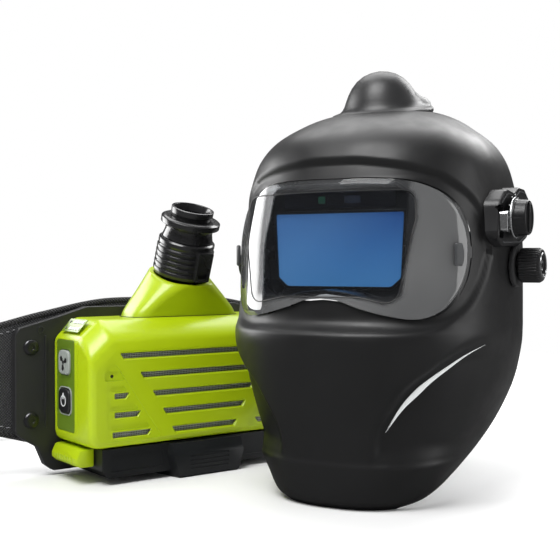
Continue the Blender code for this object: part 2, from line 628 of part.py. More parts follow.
def make_housing(parent):
    lime = material("lime_plastic", (0.36, 0.55, 0.012), 0.33)
    outer = prism(case_outline(), HOUSING_Y0, HOUSING_Y1)
    housing = add("blower_housing", outer, parent, lime)
    inner = prism(case_outline(CASE_WALL), HOUSING_Y0 - 0.01, HOUSING_Y1 - CASE_WALL)
    boolean(housing, cutter(add("cut_housing", inner, parent)))
    neck = box((-0.050, -0.006, 0.10), (0.050, 0.024, 0.20))
    boolean(housing, cutter(add("cut_neck", neck, parent)))
    panel = prism(rounded_rectangle(0.0178, 0.0393, 0.003, (0.0115, 0.081)), -0.12, -HALF_WIDTH + 0.0015, "x")
    boolean(housing, cutter(add("cut_keypad", panel, parent)))
    well = box((-0.12, -0.0020, 0.055), (-0.10, 0.0250, 0.114))
    boolean(housing, cutter(add("cut_key_well", well, parent)))


def make_cover(parent):
    """Front filter cover: a tray with a sloped top shoulder and rows of air slots."""
    lime = material("lime_plastic", (0.36, 0.55, 0.012), 0.33)

    def tray(inset, y_back, y_front):
        rings = []
        for y, extra, drop in ((y_back, 0.0, 0.0), (-0.0170, 0.0, 0.0010), (y_front + 0.0100, 0.0002, 0.0075),
                               (y_front + 0.0020, 0.0014, 0.0150), (y_front, 0.0045, 0.0180)):
            rings.append([(x, y, z) for x, z in case_outline(inset + extra, drop)])
        return loft(rings)

    cover = add("filter_cover", tray(0.0, HOUSING_Y0 - GAP, COVER_Y0), parent, lime)
    boolean(cover, cutter(add("cut_cover", tray(CASE_WALL, HOUSING_Y0 + 0.01, COVER_Y0 + CASE_WALL), parent)))
    slots = bmesh.new()
    slant = 0.004
    for z, half, outer in SLOT_ROWS:
        low, high = z - SLOT_HEIGHT / 2, z + SLOT_HEIGHT / 2
        shapes = [[(-half + slant, low), (half - slant, low), (half, high), (-half, high)]]
        if outer:
            near, far = outer
            for sign in (1, -1):
                corners = [(near + slant, low), (far, low), (far, high), (near, high)]
                shapes.append([(sign * x, height) for x, height in corners])
        for shape in shapes:
            prism(shape, -0.06, -0.02, bm=slots)
    boolean(cover, cutter(add("cut_slots", slots, parent)))


def make_filters(parent):
    steel = material("mesh_steel", (0.62, 0.63, 0.64), 0.35, 0.8)
    paper = material("filter_paper", (0.80, 0.80, 0.77), 0.9)
    mesh = prism(rounded_rectangle(0.0980, 0.0355, 0.006, (0, 0.0745), 2), -0.0328, -0.0320)
    add("spark_arrester", mesh, parent, steel)
    # A zigzag front stands for the pleats
    pleats = 24
    width = 0.098
    outline = [(-width, -0.0120), (width, -0.0120)]
    for i in range(pleats + 1):
        x = width - 2 * width * i / pleats
        outline.append((x, -0.0300 if i % 2 else -0.0270))
    add("particle_filter", prism(outline, 0.0375, 0.1130, "z"), parent, paper)


def make_fan(parent):
    """Scroll casing open at the front, with the impeller and its motor on one shaft along Y."""
    black = material("fan_black", (0.03, 0.03, 0.032), 0.5)
    steel = material("bolt_steel", (0.5, 0.5, 0.5), 0.3, 1.0)
    fx, fz = FAN_CENTRE
    scroll = []
    for i in range(25):
        angle = math.radians(-60 + 300 * i / 24)
        radius = FAN_RADIUS + 0.003 + 0.008 * i / 24
        scroll.append((fx - radius * math.cos(angle), fz - radius * math.sin(angle)))
    top = 0.1310
    scroll = [(fx + 0.010, top)] + [(x, z) for x, z in scroll if z < top] + [(fx + 0.044, top)]
    centre = (sum(p[0] for p in scroll) / len(scroll), sum(p[1] for p in scroll) / len(scroll))
    grown = [(centre[0] + (x - centre[0]) * 1.05, centre[1] + (z - centre[1]) * 1.03) for x, z in scroll]
    casing = add("fan_volute", prism(grown, -0.0080, 0.0300), parent, black)
    hollow = prism([(x, z if z < top - 1e-6 else 0.16) for x, z in scroll], -0.0060, 0.0275)
    boolean(casing, cutter(add("cut_volute", hollow, parent)))
    inlet = solid_turned([(0.024, -0.02), (0.024, 0.02)], 24, "y", (fx, -0.006, fz))
    boolean(casing, cutter(add("cut_inlet", inlet, parent)))

    wheel = add("impeller", turned([(0.0060, 0.0), (FAN_RADIUS, 0.0), (FAN_RADIUS, 0.0022), (0.0172, 0.0022),
                                    (0.0150, 0.0160), (0.0060, 0.0160)], 32, "-y"), parent, black,
                (fx, 0.0262, fz))
    blades = bmesh.new()
    for i in range(12):
        turn = Matrix.Rotation(2 * math.pi * i / 12, 4, "Y")
        blade = bmesh.new()
        box((0.0165, -0.0260, -0.0009), (FAN_RADIUS - 0.001, -0.0010, 0.0009), blade)
        lean = Matrix.Rotation(math.radians(28), 3, "Y")
        bmesh.ops.rotate(blade, cent=(0.025, 0, 0), matrix=lean, verts=blade.verts)
        bmesh.ops.transform(blade, matrix=turn, verts=blade.verts)
        temp = bpy.data.meshes.new("blade")
        blade.to_mesh(temp)
        blades.from_mesh(temp)
        bpy.data.meshes.remove(temp)
        blade.free()
    boolean(wheel, cutter(add("add_blades", blades, wheel)), "UNION")
    motor = [(0.0030, -0.004), (0.0030, 0.0), (0.0052, 0.0), (0.0052, 0.0256)]
    add("fan_motor", solid_turned(motor, 20, "y", (fx, 0, fz)), parent, steel)


def make_electronics(parent):
    green = material("circuit_green", (0.02, 0.13, 0.05), 0.45)
    add("control_board", box((-0.1000, 0.0060, 0.046), (-0.0985, 0.0300, 0.118)), parent, green)
    panel_look = material("panel_green", (0.10, 0.17, 0.012), 0.5)
    face = prism(rounded_rectangle(0.0175, 0.0390, 0.0028, (0.0115, 0.081)), -HALF_WIDTH + 0.0003,
                 -HALF_WIDTH + 0.0013, "x")
    panel = add("keypad_panel", face, parent, panel_look)
    holes = bmesh.new()
    for z in (0.101, 0.068):
        prism(rounded_rectangle(0.0108, 0.0108, 0.0058, (0.0115, z)), -0.12, -0.10, "x", bm=holes)
    boolean(panel, cutter(add("cut_keys", holes, parent)))
    grey = material("key_grey", (0.42, 0.44, 0.42), 0.55)
    black = material("key_black", (0.02, 0.02, 0.02), 0.5)
    for name, z, look in (("fan_key", 0.101, grey), ("power_key", 0.068, black)):
        key = prism(rounded_rectangle(0.0104, 0.0104, 0.0054), -0.0026, 0.0022, "x")
        bevel(add(name, key, parent, look, (-HALF_WIDTH + 0.0006, 0.0115, z)), 0.0008, 1)
    strip = box((-0.0070, -0.0160, 0.0), (0.0070, 0.0160, 0.0008))
    window = material("indicator_dark", (0.06, 0.09, 0.01), 0.3)
    on_corner = (-HALF_WIDTH + 0.0083, 0.0095, CASE_Z1 - 0.0061)
    add("indicator_window", strip, parent, window, on_corner, (0, -math.radians(47.6), 0))


def outlet_frame(parent):
    frame = empty("outlet_axis", OUTLET_BASE)
    frame.parent = parent
    frame.rotation_euler = (OUTLET_TILT, 0, 0)
    return frame


def make_outlet(parent, axis):
    """Lime funnel on top of the case, then the black coupling on the tilted outlet axis."""
    lime = material("lime_plastic", (0.36, 0.55, 0.012), 0.33)
    black = material("coupling_black", (0.014, 0.014, 0.015), 0.3)

    def section(half_x, half_y, radius, z, y, lean):
        turn = Matrix.Rotation(OUTLET_TILT * lean, 3, "X")
        return [turn @ Vector((u, v, 0)) + Vector((0, y, z))
                for u, v in rounded_rectangle(half_x, half_y, radius, steps=5)]

    def funnel(inset, low, high):
        return loft([
            section(0.055 - inset, 0.0205 - inset, 0.0150, low, 0.0090, 0.0),
            section(0.0525 - inset, 0.0208 - inset, 0.0155, 0.1450, 0.0088, 0.1),
            section(0.0405 - inset, 0.0230 - inset, 0.0190, 0.1600, 0.0075, 0.5),
            section(0.0275 - inset, 0.0272 - inset, 0.0235, high, 0.0065, 1.0),
        ])

    body = add("outlet_funnel", funnel(0.0, CASE_Z1 + GAP, 0.1745), parent, lime)
    boolean(body, cutter(add("cut_funnel", funnel(0.0030, CASE_Z1 - 0.01, 0.1780), parent)))
    socket = [(0.0146, -0.0060), (0.0172, -0.0060), (0.0174, 0.0032), (0.0250, 0.0032), (0.0252, 0.0050)]
    for ridge in range(RIDGES):
        start = 0.0060 + ridge * 0.0050
        socket += [(0.0260, start), (0.0260, start + 0.0028), (0.0251, start + 0.0034)]
    socket += [(0.0255, 0.0315), (0.0255, 0.0350), (0.0240, 0.0365), (0.0175, 0.0365), (0.0175, 0.0585),
               (0.0190, 0.0597), (0.0190, 0.0650), (0.0168, 0.0650), (0.0146, 0.0590)]
    add("outlet_socket", turned(socket, 28), axis, black)
    ring = [(0.0178, 0.0370), (0.0232, 0.0370), (0.0222, 0.0400), (0.0214, 0.0470), (0.0232, 0.0492),
            (0.0266, 0.0500), (0.0266, 0.0548), (0.0240, 0.0562), (0.0178, 0.0562)]
    add("coupling_ring", turned(ring, 32), axis, black)


def make_battery(parent):
    black = material("battery_black", (0.013, 0.013, 0.014), 0.38)
    lime = material("lime_plastic", (0.36, 0.55, 0.012), 0.33)
    body = prism([(-0.1000, BATTERY_Z), (-0.1000, 0.012), (-0.094, 0.006), (0.094, 0.006), (0.1000, 0.012),
                  (0.1000, BATTERY_Z)], -0.0335, 0.0320)
    pack = add("battery_case", body, parent, black)
    # half width in front and behind, front face, height
    levels = [(0.030, 0.044, -0.0430, 0.0), (0.036, 0.052, -0.0430, 0.020), (0.036, 0.052, -0.0380, 0.0295)]
    block = loft([[(-front, y0, z), (front, y0, z), (rear, 0.0290, z), (-rear, 0.0290, z)]
                  for front, rear, y0, z in levels])
    boolean(pack, cutter(add("add_battery_block", block, parent)), "UNION")
    lever = prism([(-0.1008, 0.0150), (-0.1008, 0.0300), (-0.1126, 0.0300), (-0.1168, 0.0225),
                   (-0.1168, 0.0185), (-0.1130, 0.0150)], -0.0200, 0.0300)
    bevel(add("battery_latch", lever, parent, lime), 0.0012, 1)


def belt_path():
    """Plan points of half the belt line, from the middle behind the blower round to the pad's far end."""
    r = BELT_CORNER
    x1, y0, y1 = BELT_REACH, BELT_Y, BELT_Y + BELT_DEPTH
    points = [(0.0, y0), (0.06, y0), (0.12, y0), (x1 - r, y0)]
    for i in range(1, 7):
        angle = math.pi * i / 6
        points.append((x1 - r + r * math.sin(angle), (y0 + y1) / 2 - (y1 - y0) / 2 * math.cos(angle)))
    points += [(0.15, y1), (PAD_END_X, y1)]
    return points


def belt_heights(x, y):
    """Lower and upper edge of the padded belt at a plan place."""
    if y < BELT_Y + 1e-6:
        rise = curve_through([(0.0, 0.012, 0.152), (0.06, 0.013, 0.1515), (0.12, 0.028, 0.141),
                              (0.18, 0.043, 0.1290), (0.3, 0.044, 0.127)])
        return rise(abs(x))
    share = (y - BELT_Y) / BELT_DEPTH
    return 0.044 - 0.039 * share, 0.127 - 0.065 * share


def belt_rings(points, thick, heights):
    rings = []
    for i, (x, y) in enumerate(points):
        before, after = points[max(i - 1, 0)], points[min(i + 1, len(points) - 1)]
        ahead = Vector((after[0] - before[0], after[1] - before[1])).normalized()
        out = Vector((ahead.y, -ahead.x)) * thick / 2
        low, high = heights(x, y)
        rings.append([(x + out.x, y + out.y, low), (x + out.x, y + out.y, high),
                      (x - out.x, y - out.y, high), (x - out.x, y - out.y, low)])
    return rings


def make_belt(parent):
    cloth = material("belt_fabric", (0.03, 0.031, 0.034), 0.85)
    black = material("plate_black", (0.02, 0.02, 0.021), 0.5)
    steel = material("rivet_black", (0.05, 0.05, 0.052), 0.35, 0.6)
    half = belt_path()
    whole = [(-x, y) for x, y in reversed(half[1:])] + half
    add("belt_pad", loft(belt_rings(whole, BELT_THICK, belt_heights)), parent, cloth)

    plate_y0, plate_y1 = HOUSING_Y1 + GAP, BELT_Y - BELT_THICK / 2 - GAP
    half_plate = [(0.0, 0.147), (0.080, 0.147), (0.104, 0.140), (0.143, 0.130), (0.147, 0.124),
                  (0.147, 0.040), (0.140, 0.034), (0.127, 0.026), (0.120, 0.010), (0.112, 0.004),
                  (0.0, 0.003)]
    add("back_plate", prism(mirrored(half_plate), plate_y0, plate_y1), parent, black)
    for side, sx in (("left", -1), ("right", 1)):
        for level, z in (("upper", 0.113), ("lower", 0.050)):
            head = [(0.0066, 0.0), (0.0066, 0.0012), (0.0052, 0.0026)]
            add(f"belt_rivet_{side}_{level}", solid_turned(head, 16, "-y"), parent, steel,
                (sx * RIVET_X, plate_y0 - GAP, z))


def make_buckle(parent):
    """Webbing ends over the pad's ends, and the side-release buckle between them."""
    cloth = material("belt_fabric", (0.03, 0.031, 0.034), 0.85)
    black = material("buckle_black", (0.016, 0.016, 0.017), 0.42)
    far_y = BELT_Y + BELT_DEPTH
    outer_y = far_y + BELT_THICK / 2 + GAP
    low, high = 0.008, 0.058
    for side, sign in (("left", -1), ("right", 1)):
        rings = []
        for x, y in ((0.034, far_y), (0.044, far_y), (0.068, outer_y), (0.110, outer_y), (0.140, outer_y)):
            x *= sign
            rings.append([(x, y, low), (x, y, high), (x, y + WEB_THICK, high), (x, y + WEB_THICK, low)])
        add(f"webbing_{side}", loft(rings), parent, cloth)
    y0, y1 = far_y - 0.0045, far_y + 0.0075
    shell = box((-0.0330, y0, 0.006), (0.0080, y1, 0.060))
    socket = add("buckle_socket", shell, parent, black)
    bevel(socket, 0.0025, 1)
    mouth = box((-0.0220, y0 + 0.0025, 0.0105), (0.02, y1 - 0.0025, 0.0555))
    boolean(socket, cutter(add("cut_buckle", mouth, parent)))
    plug = prism([(0.0330, 0.006), (0.0330, 0.060), (0.0083, 0.060), (0.0083, 0.0550), (-0.0160, 0.0550),
                  (-0.0210, 0.0500), (-0.0160, 0.0440), (0.0083, 0.0460), (0.0083, 0.0200), (-0.0160, 0.0220),
                  (-0.0210, 0.0160), (-0.0160, 0.0110), (0.0083, 0.0110), (0.0083, 0.006)],
                 y0 + 0.0032, y1 - 0.0032)
    add("buckle_plug", plug, parent, black)


def main():
    clear_scene()
    helmet = empty("helmet_place", (HELMET_X, HELMET_Y, 0))
    blower = empty("blower_place", (0, 0, 0), BLOWER_YAW)
    make_shell(helmet)
    make_dome(helmet)
    make_lens(helmet)
    make_cassette(helmet)
    make_latches(helmet)
    make_pivots(helmet)
    make_controls(helmet)
    make_face_seal(helmet)
    make_headgear(helmet)
    make_ratchet(helmet)
    make_duct_and_hose(helmet)
    make_housing(blower)
    make_cover(blower)
    make_filters(blower)
    make_fan(blower)
    make_electronics(blower)
    make_outlet(blower, outlet_frame(blower))
    make_battery(blower)
    make_belt(blower)
    make_buckle(blower)


main()
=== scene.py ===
"""Looks of the powered air respirator: a welding helmet and its belt-worn blower unit.

Sizes are metres. The helmet is built in its own frame (Y = 0 is the flip axis, -Y the face) and the blower
in its own (front -Y, wide along X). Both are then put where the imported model's joints say.
"""

import json
import math

import bmesh
import bpy
from mathutils import Matrix, Vector
from mathutils.kdtree import KDTree


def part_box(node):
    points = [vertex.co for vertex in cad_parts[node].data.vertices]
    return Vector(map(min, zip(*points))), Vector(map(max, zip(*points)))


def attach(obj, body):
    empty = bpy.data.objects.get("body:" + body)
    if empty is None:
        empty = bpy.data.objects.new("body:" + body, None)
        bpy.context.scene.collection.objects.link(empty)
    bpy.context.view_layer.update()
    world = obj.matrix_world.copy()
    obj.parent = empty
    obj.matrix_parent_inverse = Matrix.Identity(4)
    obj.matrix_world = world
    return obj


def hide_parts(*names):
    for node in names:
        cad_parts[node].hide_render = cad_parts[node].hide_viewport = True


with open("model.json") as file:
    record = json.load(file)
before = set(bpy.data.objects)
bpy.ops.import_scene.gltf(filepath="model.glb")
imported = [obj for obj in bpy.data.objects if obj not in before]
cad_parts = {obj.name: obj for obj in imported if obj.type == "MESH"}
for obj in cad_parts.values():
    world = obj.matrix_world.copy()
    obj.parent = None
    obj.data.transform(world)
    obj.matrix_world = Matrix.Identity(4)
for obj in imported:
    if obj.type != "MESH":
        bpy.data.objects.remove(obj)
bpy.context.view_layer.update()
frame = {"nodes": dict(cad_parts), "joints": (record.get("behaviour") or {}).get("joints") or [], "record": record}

# ---------------------------------------------------------------- places, from the frame
JOINT = {joint["name"]: joint for joint in frame["joints"]}
PIVOT = Vector(JOINT["shell_flip"]["pos_m"])
HELMET = Matrix.Translation((PIVOT.x, PIVOT.y, 0))
ALONG = Vector(JOINT["battery_slide"]["axis"])
BLOWER = Matrix.Rotation(math.atan2(ALONG.y, ALONG.x), 4, "Z")
OUTLET_AXIS = Vector(JOINT["coupling_ring_turn"]["axis"])
OUTLET_TILT = math.acos(OUTLET_AXIS.z)
OUTLET = (Matrix.Translation(JOINT["coupling_ring_turn"]["pos_m"]) @ BLOWER
          @ Matrix.Rotation(OUTLET_TILT, 4, "X"))
SHADE = HELMET.inverted() @ Vector(JOINT["shade_knob_turn"]["pos_m"])
DIAL = HELMET.inverted() @ Vector(JOINT["sensitivity_dial_turn"]["pos_m"])

# ---------------------------------------------------------------- shapes shared with the design
SHELL_WALL = 0.003
SECTION_POWER = 2.45
CROWN_TOP_Z, CROWN_TOP_Y = 0.318, 0.036
# height, half width, reach ahead of the axis, reach behind it, y of the widest place
SHELL_SECTIONS = [
    (0.000, 0.056, 0.105, 0.038, -0.045), (0.006, 0.063, 0.1105, 0.052, -0.043),
    (0.020, 0.072, 0.1135, 0.070, -0.038), (0.040, 0.0845, 0.117, 0.088, -0.028),
    (0.063, 0.096, 0.1215, 0.104, -0.014), (0.090, 0.106, 0.127, 0.115, -0.004),
    (0.118, 0.111, 0.1335, 0.122, 0.000), (0.133, 0.112, 0.134, 0.122, 0.000),
    (0.142, 0.112, 0.126, 0.122, 0.000), (0.155, 0.112, 0.124, 0.122, 0.000),
    (0.178, 0.112, 0.121, 0.120, 0.000), (0.205, 0.112, 0.118, 0.116, 0.000),
    (0.230, 0.109, 0.112, 0.110, 0.000), (0.252, 0.105, 0.106, 0.102, 0.002),
    (0.270, 0.099, 0.099, 0.093, 0.004), (0.285, 0.088, 0.087, 0.086, 0.008),
    (0.297, 0.072, 0.068, 0.083, 0.014), (0.307, 0.056, 0.042, 0.081, 0.022),
    (0.313, 0.040, 0.012, 0.076, 0.030), (0.3165, 0.021, -0.014, 0.058, 0.035),
]
REAR_EDGE = [(0.051, 0.215), (0.066, 0.36), (0.2, 0.36), (0.2, -0.05), (-0.090, -0.05),
             (-0.086, 0.0010), (-0.068, 0.0070), (-0.048, 0.0150), (-0.028, 0.0240), (-0.007, 0.034),
             (0.013, 0.047), (0.032, 0.062), (0.046, 0.076), (0.051, 0.090)]
VISOR_HALF = 0.097
# upper and lower edge of the visor opening, then of its sunk surround, as (x, height)
VISOR_TOP = [(0.0, 0.249), (0.034, 0.249), (0.060, 0.2465), (0.078, 0.2395), (0.088, 0.2295),
             (0.0935, 0.2170), (0.0962, 0.2060), (VISOR_HALF, 0.1960)]
VISOR_BOTTOM = [(0.0, 0.159), (0.014, 0.1575), (0.030, 0.152), (0.052, 0.1465), (0.070, 0.1445),
                (0.082, 0.1490), (0.0895, 0.1580), (0.0942, 0.1700), (0.0964, 0.1820), (VISOR_HALF, 0.1915)]
SURROUND_HALF = 0.1075
SURROUND_TOP = [(0.0, 0.2665), (0.026, 0.2655), (0.0735, 0.256), (0.095, 0.241), (0.1045, 0.222),
                (SURROUND_HALF, 0.202)]
SURROUND_BOTTOM = [(0.0, 0.134), (0.040, 0.134), (0.0745, 0.1345), (0.090, 0.141), (0.100, 0.153),
                   (0.1055, 0.172), (SURROUND_HALF, 0.188)]
SURROUND_DEPTH, SURROUND_STEP = 0.0036, 0.0056
# edge of the scooped cheeks as (height, x)
CHEEK_EDGE = [(0.030, 0.0345), (0.045, 0.0355), (0.064, 0.0397), (0.079, 0.049), (0.094, 0.060),
              (0.1155, 0.0846), (0.1325, 0.101)]
CHEEK_DEPTH, CHEEK_ROUND = 0.0062, 0.010
# cheek accent: x, z and half width of the tapered line
ACCENT = [(0.0495, 0.0609, 0.0001), (0.0618, 0.0790, 0.0012), (0.0723, 0.0908, 0.0019),
          (0.0808, 0.0993, 0.0014), (0.0954, 0.1123, 0.0007), (0.1065, 0.1240, 0.0001)]
LENS_PROUD, LENS_THICK = 0.0004, 0.0020
CASE_HALF, CASE_Z0, CASE_Z1, CASE_WALL = 0.112, 0.031, 0.138, 0.0025
HOUSING_Y0, HOUSING_Y1 = -0.012, 0.035
GAP = 0.0003
COVER_BACK, COVER_FRONT = HOUSING_Y0 - GAP, -0.036
# height and half width of each middle slot, then the reach of the outer slots in the same row
SLOT_ROWS = [(0.1080, 0.084, None), (0.0910, 0.065, None), (0.0745, 0.053, (0.075, 0.089)),
             (0.0585, 0.043, (0.064, 0.089)), (0.0420, 0.034, (0.054, 0.091))]
BELT_Y, BELT_REACH, BELT_DEPTH, BELT_CORNER = 0.0478, 0.250, 0.170, 0.070
PAD_END, BELT_THICK = 0.100, 0.007
WEB_THICK, WEB_LOW, WEB_HIGH = 0.0022, 0.008, 0.058


# ---------------------------------------------------------------- mesh tools

def curve_through(points):
    """A smooth function through (position, value, value, ...) rows: a cubic with Catmull-Rom slopes."""
    keys = [row[0] for row in points]

    def value(at):
        at = min(max(at, keys[0]), keys[-1])
        i = max(k for k in range(len(keys) - 1) if keys[k] <= at)
        step = keys[i + 1] - keys[i]
        t = (at - keys[i]) / step
        out = []
        for column in range(1, len(points[0])):
            slopes = []
            for k in (i, i + 1):
                low, high = max(k - 1, 0), min(k + 1, len(keys) - 1)
                slopes.append((points[high][column] - points[low][column]) / (keys[high] - keys[low]) * step)
            out.append((2 * t**3 - 3 * t**2 + 1) * points[i][column] + (t**3 - 2 * t**2 + t) * slopes[0]
                       + (3 * t**2 - 2 * t**3) * points[i + 1][column] + (t**3 - t**2) * slopes[1])
        return out

    return value


def smoothstep(low, high, value):
    t = min(max((value - low) / (high - low), 0.0), 1.0)
    return t * t * (3 - 2 * t)


def filleted(corners, steps=5):
    """A closed outline with round corners, from (u, v, radius) rows."""
    out = []
    count = len(corners)
    for i, (u, v, radius) in enumerate(corners):
        here = Vector((u, v))
        before = Vector(corners[i - 1][:2]) - here
        after = Vector(corners[(i + 1) % count][:2]) - here
        if radius <= 0:
            out.append((u, v))
            continue
        turn = before.angle(after)
        reach = min(radius / math.tan(turn / 2), 0.49 * before.length, 0.49 * after.length)
        start, end = here + before.normalized() * reach, here + after.normalized() * reach
        for k in range(steps + 1):
            t = k / steps
            point = (1 - t)**2 * start + 2 * t * (1 - t) * (here * 0.9 + (start + end) * 0.05) + t**2 * end
            out.append((point.x, point.y))
    return out


def rectangle(half_u, half_v, radius, centre=(0, 0), steps=5):
    """A rectangle with round corners, from its half sizes."""
    u, v = centre
    return filleted([(u + half_u, v - half_v, radius), (u + half_u, v + half_v, radius),
                     (u - half_u, v + half_v, radius), (u - half_u, v - half_v, radius)], steps)


def mirrored(half):
    """A full outline from its right half, which starts and ends on u = 0."""
    return half + [(-u, v) for u, v in reversed(half) if abs(u) > 1e-6]


def loft(rings, caps=True, bm=None):
    """A skin over rings of equal length, closed with flat ends, or closed on itself without caps."""
    bm = bm or bmesh.new()
    rows = [[bm.verts.new(p) for p in ring] for ring in rings]
    pairs = list(zip(rows, rows[1:])) if caps else list(zip(rows, rows[1:] + rows[:1]))
    for low, high in pairs:
        for i in range(len(low)):
            j = (i + 1) % len(low)
            bm.faces.new((low[i], low[j], high[j], high[i]))
    if caps:
        bm.faces.new(list(reversed(rows[0])))
        bm.faces.new(rows[-1])
    return bm


AXES = {"x": lambda u, v, w: (w, u, v), "y": lambda u, v, w: (u, w, v), "z": lambda u, v, w: (u, v, w)}


def slab(outline, low, high, axis="y", edge=0.0, bm=None):
    """An outline pushed along an axis, with both rims rounded by `edge`."""
    place = AXES[axis]
    middle = Vector((sum(p[0] for p in outline), sum(p[1] for p in outline))) / len(outline)
    rows = [(low, 0.0), (high, 0.0)]
    if edge:
        rows = [(low, 1.0), (low + edge * 0.3, 0.3), (low + edge, 0.0),
                (high - edge, 0.0), (high - edge * 0.3, 0.3), (high, 1.0)]
    rings = []
    for w, share in rows:
        ring = []
        for u, v in outline:
            out = Vector((u, v)) - middle
            kept = max(1 - share * edge / max(out.length, 1e-6), 0.0)
            ring.append(place(middle.x + out.x * kept, middle.y + out.y * kept, w))
        rings.append(ring)
    return loft(rings, bm=bm)


def turned(profile, sides, centre=(0, 0, 0), direction=(0, 0, 1), ripple=None, bm=None):
    """A closed (radius, height) loop turned about its axis; corners at radius 0 become poles."""
    bm = bm or bmesh.new()
    spin = Vector((0, 0, 1)).rotation_difference(Vector(direction)).to_matrix().to_4x4()
    place = Matrix.Translation(centre) @ spin
    rows = []
    for radius, height in profile:
        if radius < 1e-7:
            rows.append([bm.verts.new(place @ Vector((0, 0, height)))] * sides)
            continue
        row = []
        for i in range(sides):
            angle = 2 * math.pi * i / sides
            r = ripple(angle, radius, height) if ripple else radius
            row.append(bm.verts.new(place @ Vector((r * math.cos(angle), r * math.sin(angle), height))))
        rows.append(row)
    for k, low in enumerate(rows):
        high = rows[(k + 1) % len(rows)]
        for i in range(sides):
            j = (i + 1) % sides
            face = []
            for vert in (low[i], low[j], high[j], high[i]):
                if vert not in face:
                    face.append(vert)
            if len(face) > 2:
                bm.faces.new(face)
    return bm


def solid_turned(profile, sides, **options):
    """A (radius, height) profile turned into a solid with flat ends."""
    return turned([(0, profile[0][1])] + profile + [(0, profile[-1][1])], sides, **options)


def softened(profile, radius=0.0004, steps=2):
    """The corners of a (radius, height) loop made round; corners on the axis stay."""
    return filleted([(r, h, 0.0 if r < 1e-7 else radius) for r, h in profile], steps)


def tube(points, radius, sides=8, bm=None, closed=False):
    """A round bar along a list of points."""
    bm = bm or bmesh.new()
    points = [Vector(p) for p in points]
    count = len(points)
    side = Vector((0.3, 0.2, 1)).normalized()
    rings = []
    for i, centre in enumerate(points):
        if closed:
            ahead = (points[(i + 1) % count] - points[i - 1]).normalized()
        else:
            ahead = (points[min(i + 1, count - 1)] - points[max(i - 1, 0)]).normalized()
        side = (side - ahead * side.dot(ahead)).normalized()
        up = ahead.cross(side)
        r = radius(i / (count - 1)) if callable(radius) else radius
        rings.append([centre + r * (side * math.cos(a) + up * math.sin(a))
                      for a in (2 * math.pi * k / sides for k in range(sides))])
    return loft(rings, not closed, bm)


def raw(name, bm):
    """An object not yet part of the model, from a bmesh."""
    mesh = bpy.data.meshes.new(name)
    bmesh.ops.recalc_face_normals(bm, faces=bm.faces)
    bm.to_mesh(mesh)
    bm.free()
    obj = bpy.data.objects.new(name, mesh)
    bpy.context.scene.collection.objects.link(obj)
    return obj


def bake(obj):
    """Turns the modifiers into mesh."""
    graph = bpy.context.evaluated_depsgraph_get()
    graph.update()
    mesh = bpy.data.meshes.new_from_object(obj.evaluated_get(graph))
    obj.modifiers.clear()
    obj.data = mesh
    return obj


def cut(obj, bm, operation="DIFFERENCE"):
    """Cuts a shape out of an object, or joins it on."""
    tool = raw("tool", bm)
    step = obj.modifiers.new("cut", "BOOLEAN")
    step.operation, step.solver, step.object = operation, "EXACT", tool
    bake(obj)
    bpy.data.objects.remove(tool, do_unlink=True)
    return obj


def rounded(obj, width, segments=2, angle=35):
    """Rounds the edges that are sharper than an angle."""
    step = obj.modifiers.new("bevel", "BEVEL")
    step.width, step.segments = width, segments
    step.limit_method, step.angle_limit = "ANGLE", math.radians(angle)
    step.use_clamp_overlap = True
    return bake(obj)


def placed(obj, body, slot, place=Matrix.Identity(4), replaces=(), look=None, smooth=32, flat=False):
    """Puts a finished object on its body, with its material, shaded smooth.

    `flat` keeps its large faces flat.
    """
    obj.data.transform(place)
    obj.data.shade_smooth()
    obj.data.set_sharp_from_angle(angle=math.radians(smooth))
    if flat:
        step = obj.modifiers.new("normals", "WEIGHTED_NORMAL")
        step.keep_sharp = True
        bake(obj)
    obj.data.materials.clear()
    obj.data.materials.append(look or LOOKS[slot])
    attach(obj, body)
    if replaces:
        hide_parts(*replaces)
    return obj


BODY_OF = {node: body for body, nodes in frame["record"]["behaviour"]["bodies"].items() for node in nodes}
SLOT_OF = {row["node"]: row["material_slot"] for row in frame["record"]["subparts"]}


def stand_for(node, obj, place, smooth=32, flat=False):
    """Puts an object in the place of a CAD piece."""
    return placed(obj, BODY_OF[node], SLOT_OF[node], place, (node,), smooth=smooth, flat=flat)


def refined(node, width, segments=3):
    """A copy of a CAD piece with its edges rounded, which stands for it."""
    bm = bmesh.new()
    bm.from_mesh(frame["nodes"][node].data)
    bmesh.ops.remove_doubles(bm, verts=bm.verts, dist=1e-6)
    bmesh.ops.dissolve_limit(bm, angle_limit=math.radians(1.5), verts=bm.verts, edges=bm.edges)
    obj = rounded(raw(node + "_surface", bm), width, segments)
    return stand_for(node, obj, Matrix.Identity(4), 40, True)


def detail(name, bm, body, slot, place, look=None, smooth=32):
    """A small looks-only piece on a body."""
    return placed(raw(name, bm), body, slot, place, look=look, smooth=smooth)


def middle_of(node, place):
    """Middle of a CAD piece's box, in the helmet's or the blower's own frame."""
    low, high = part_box(node)
    return place.inverted() @ ((low + high) / 2)


# ---------------------------------------------------------------- materials

def new_look(name, colour, roughness, metallic=0.0, **inputs):
    """A new material, its node tree and its shader."""
    made = bpy.data.materials.new(name)
    made.use_nodes = True
    shader = made.node_tree.nodes["Principled BSDF"]
    shader.inputs["Base Color"].default_value = (*colour, 1)
    shader.inputs["Roughness"].default_value = roughness
    shader.inputs["Metallic"].default_value = metallic
    for key, value in inputs.items():
        shader.inputs[key.replace("_", " ")].default_value = value
    return made, made.node_tree, shader


def node(tree, kind, **settings):
    """A new node, with each setting put in the input or the property of that name."""
    made = tree.nodes.new(kind)
    for key, value in settings.items():
        if key in made.inputs:
            made.inputs[key].default_value = value
        else:
            setattr(made, key, value)
    return made


def object_place(tree):
    return node(tree, "ShaderNodeTexCoord").outputs["Object"]


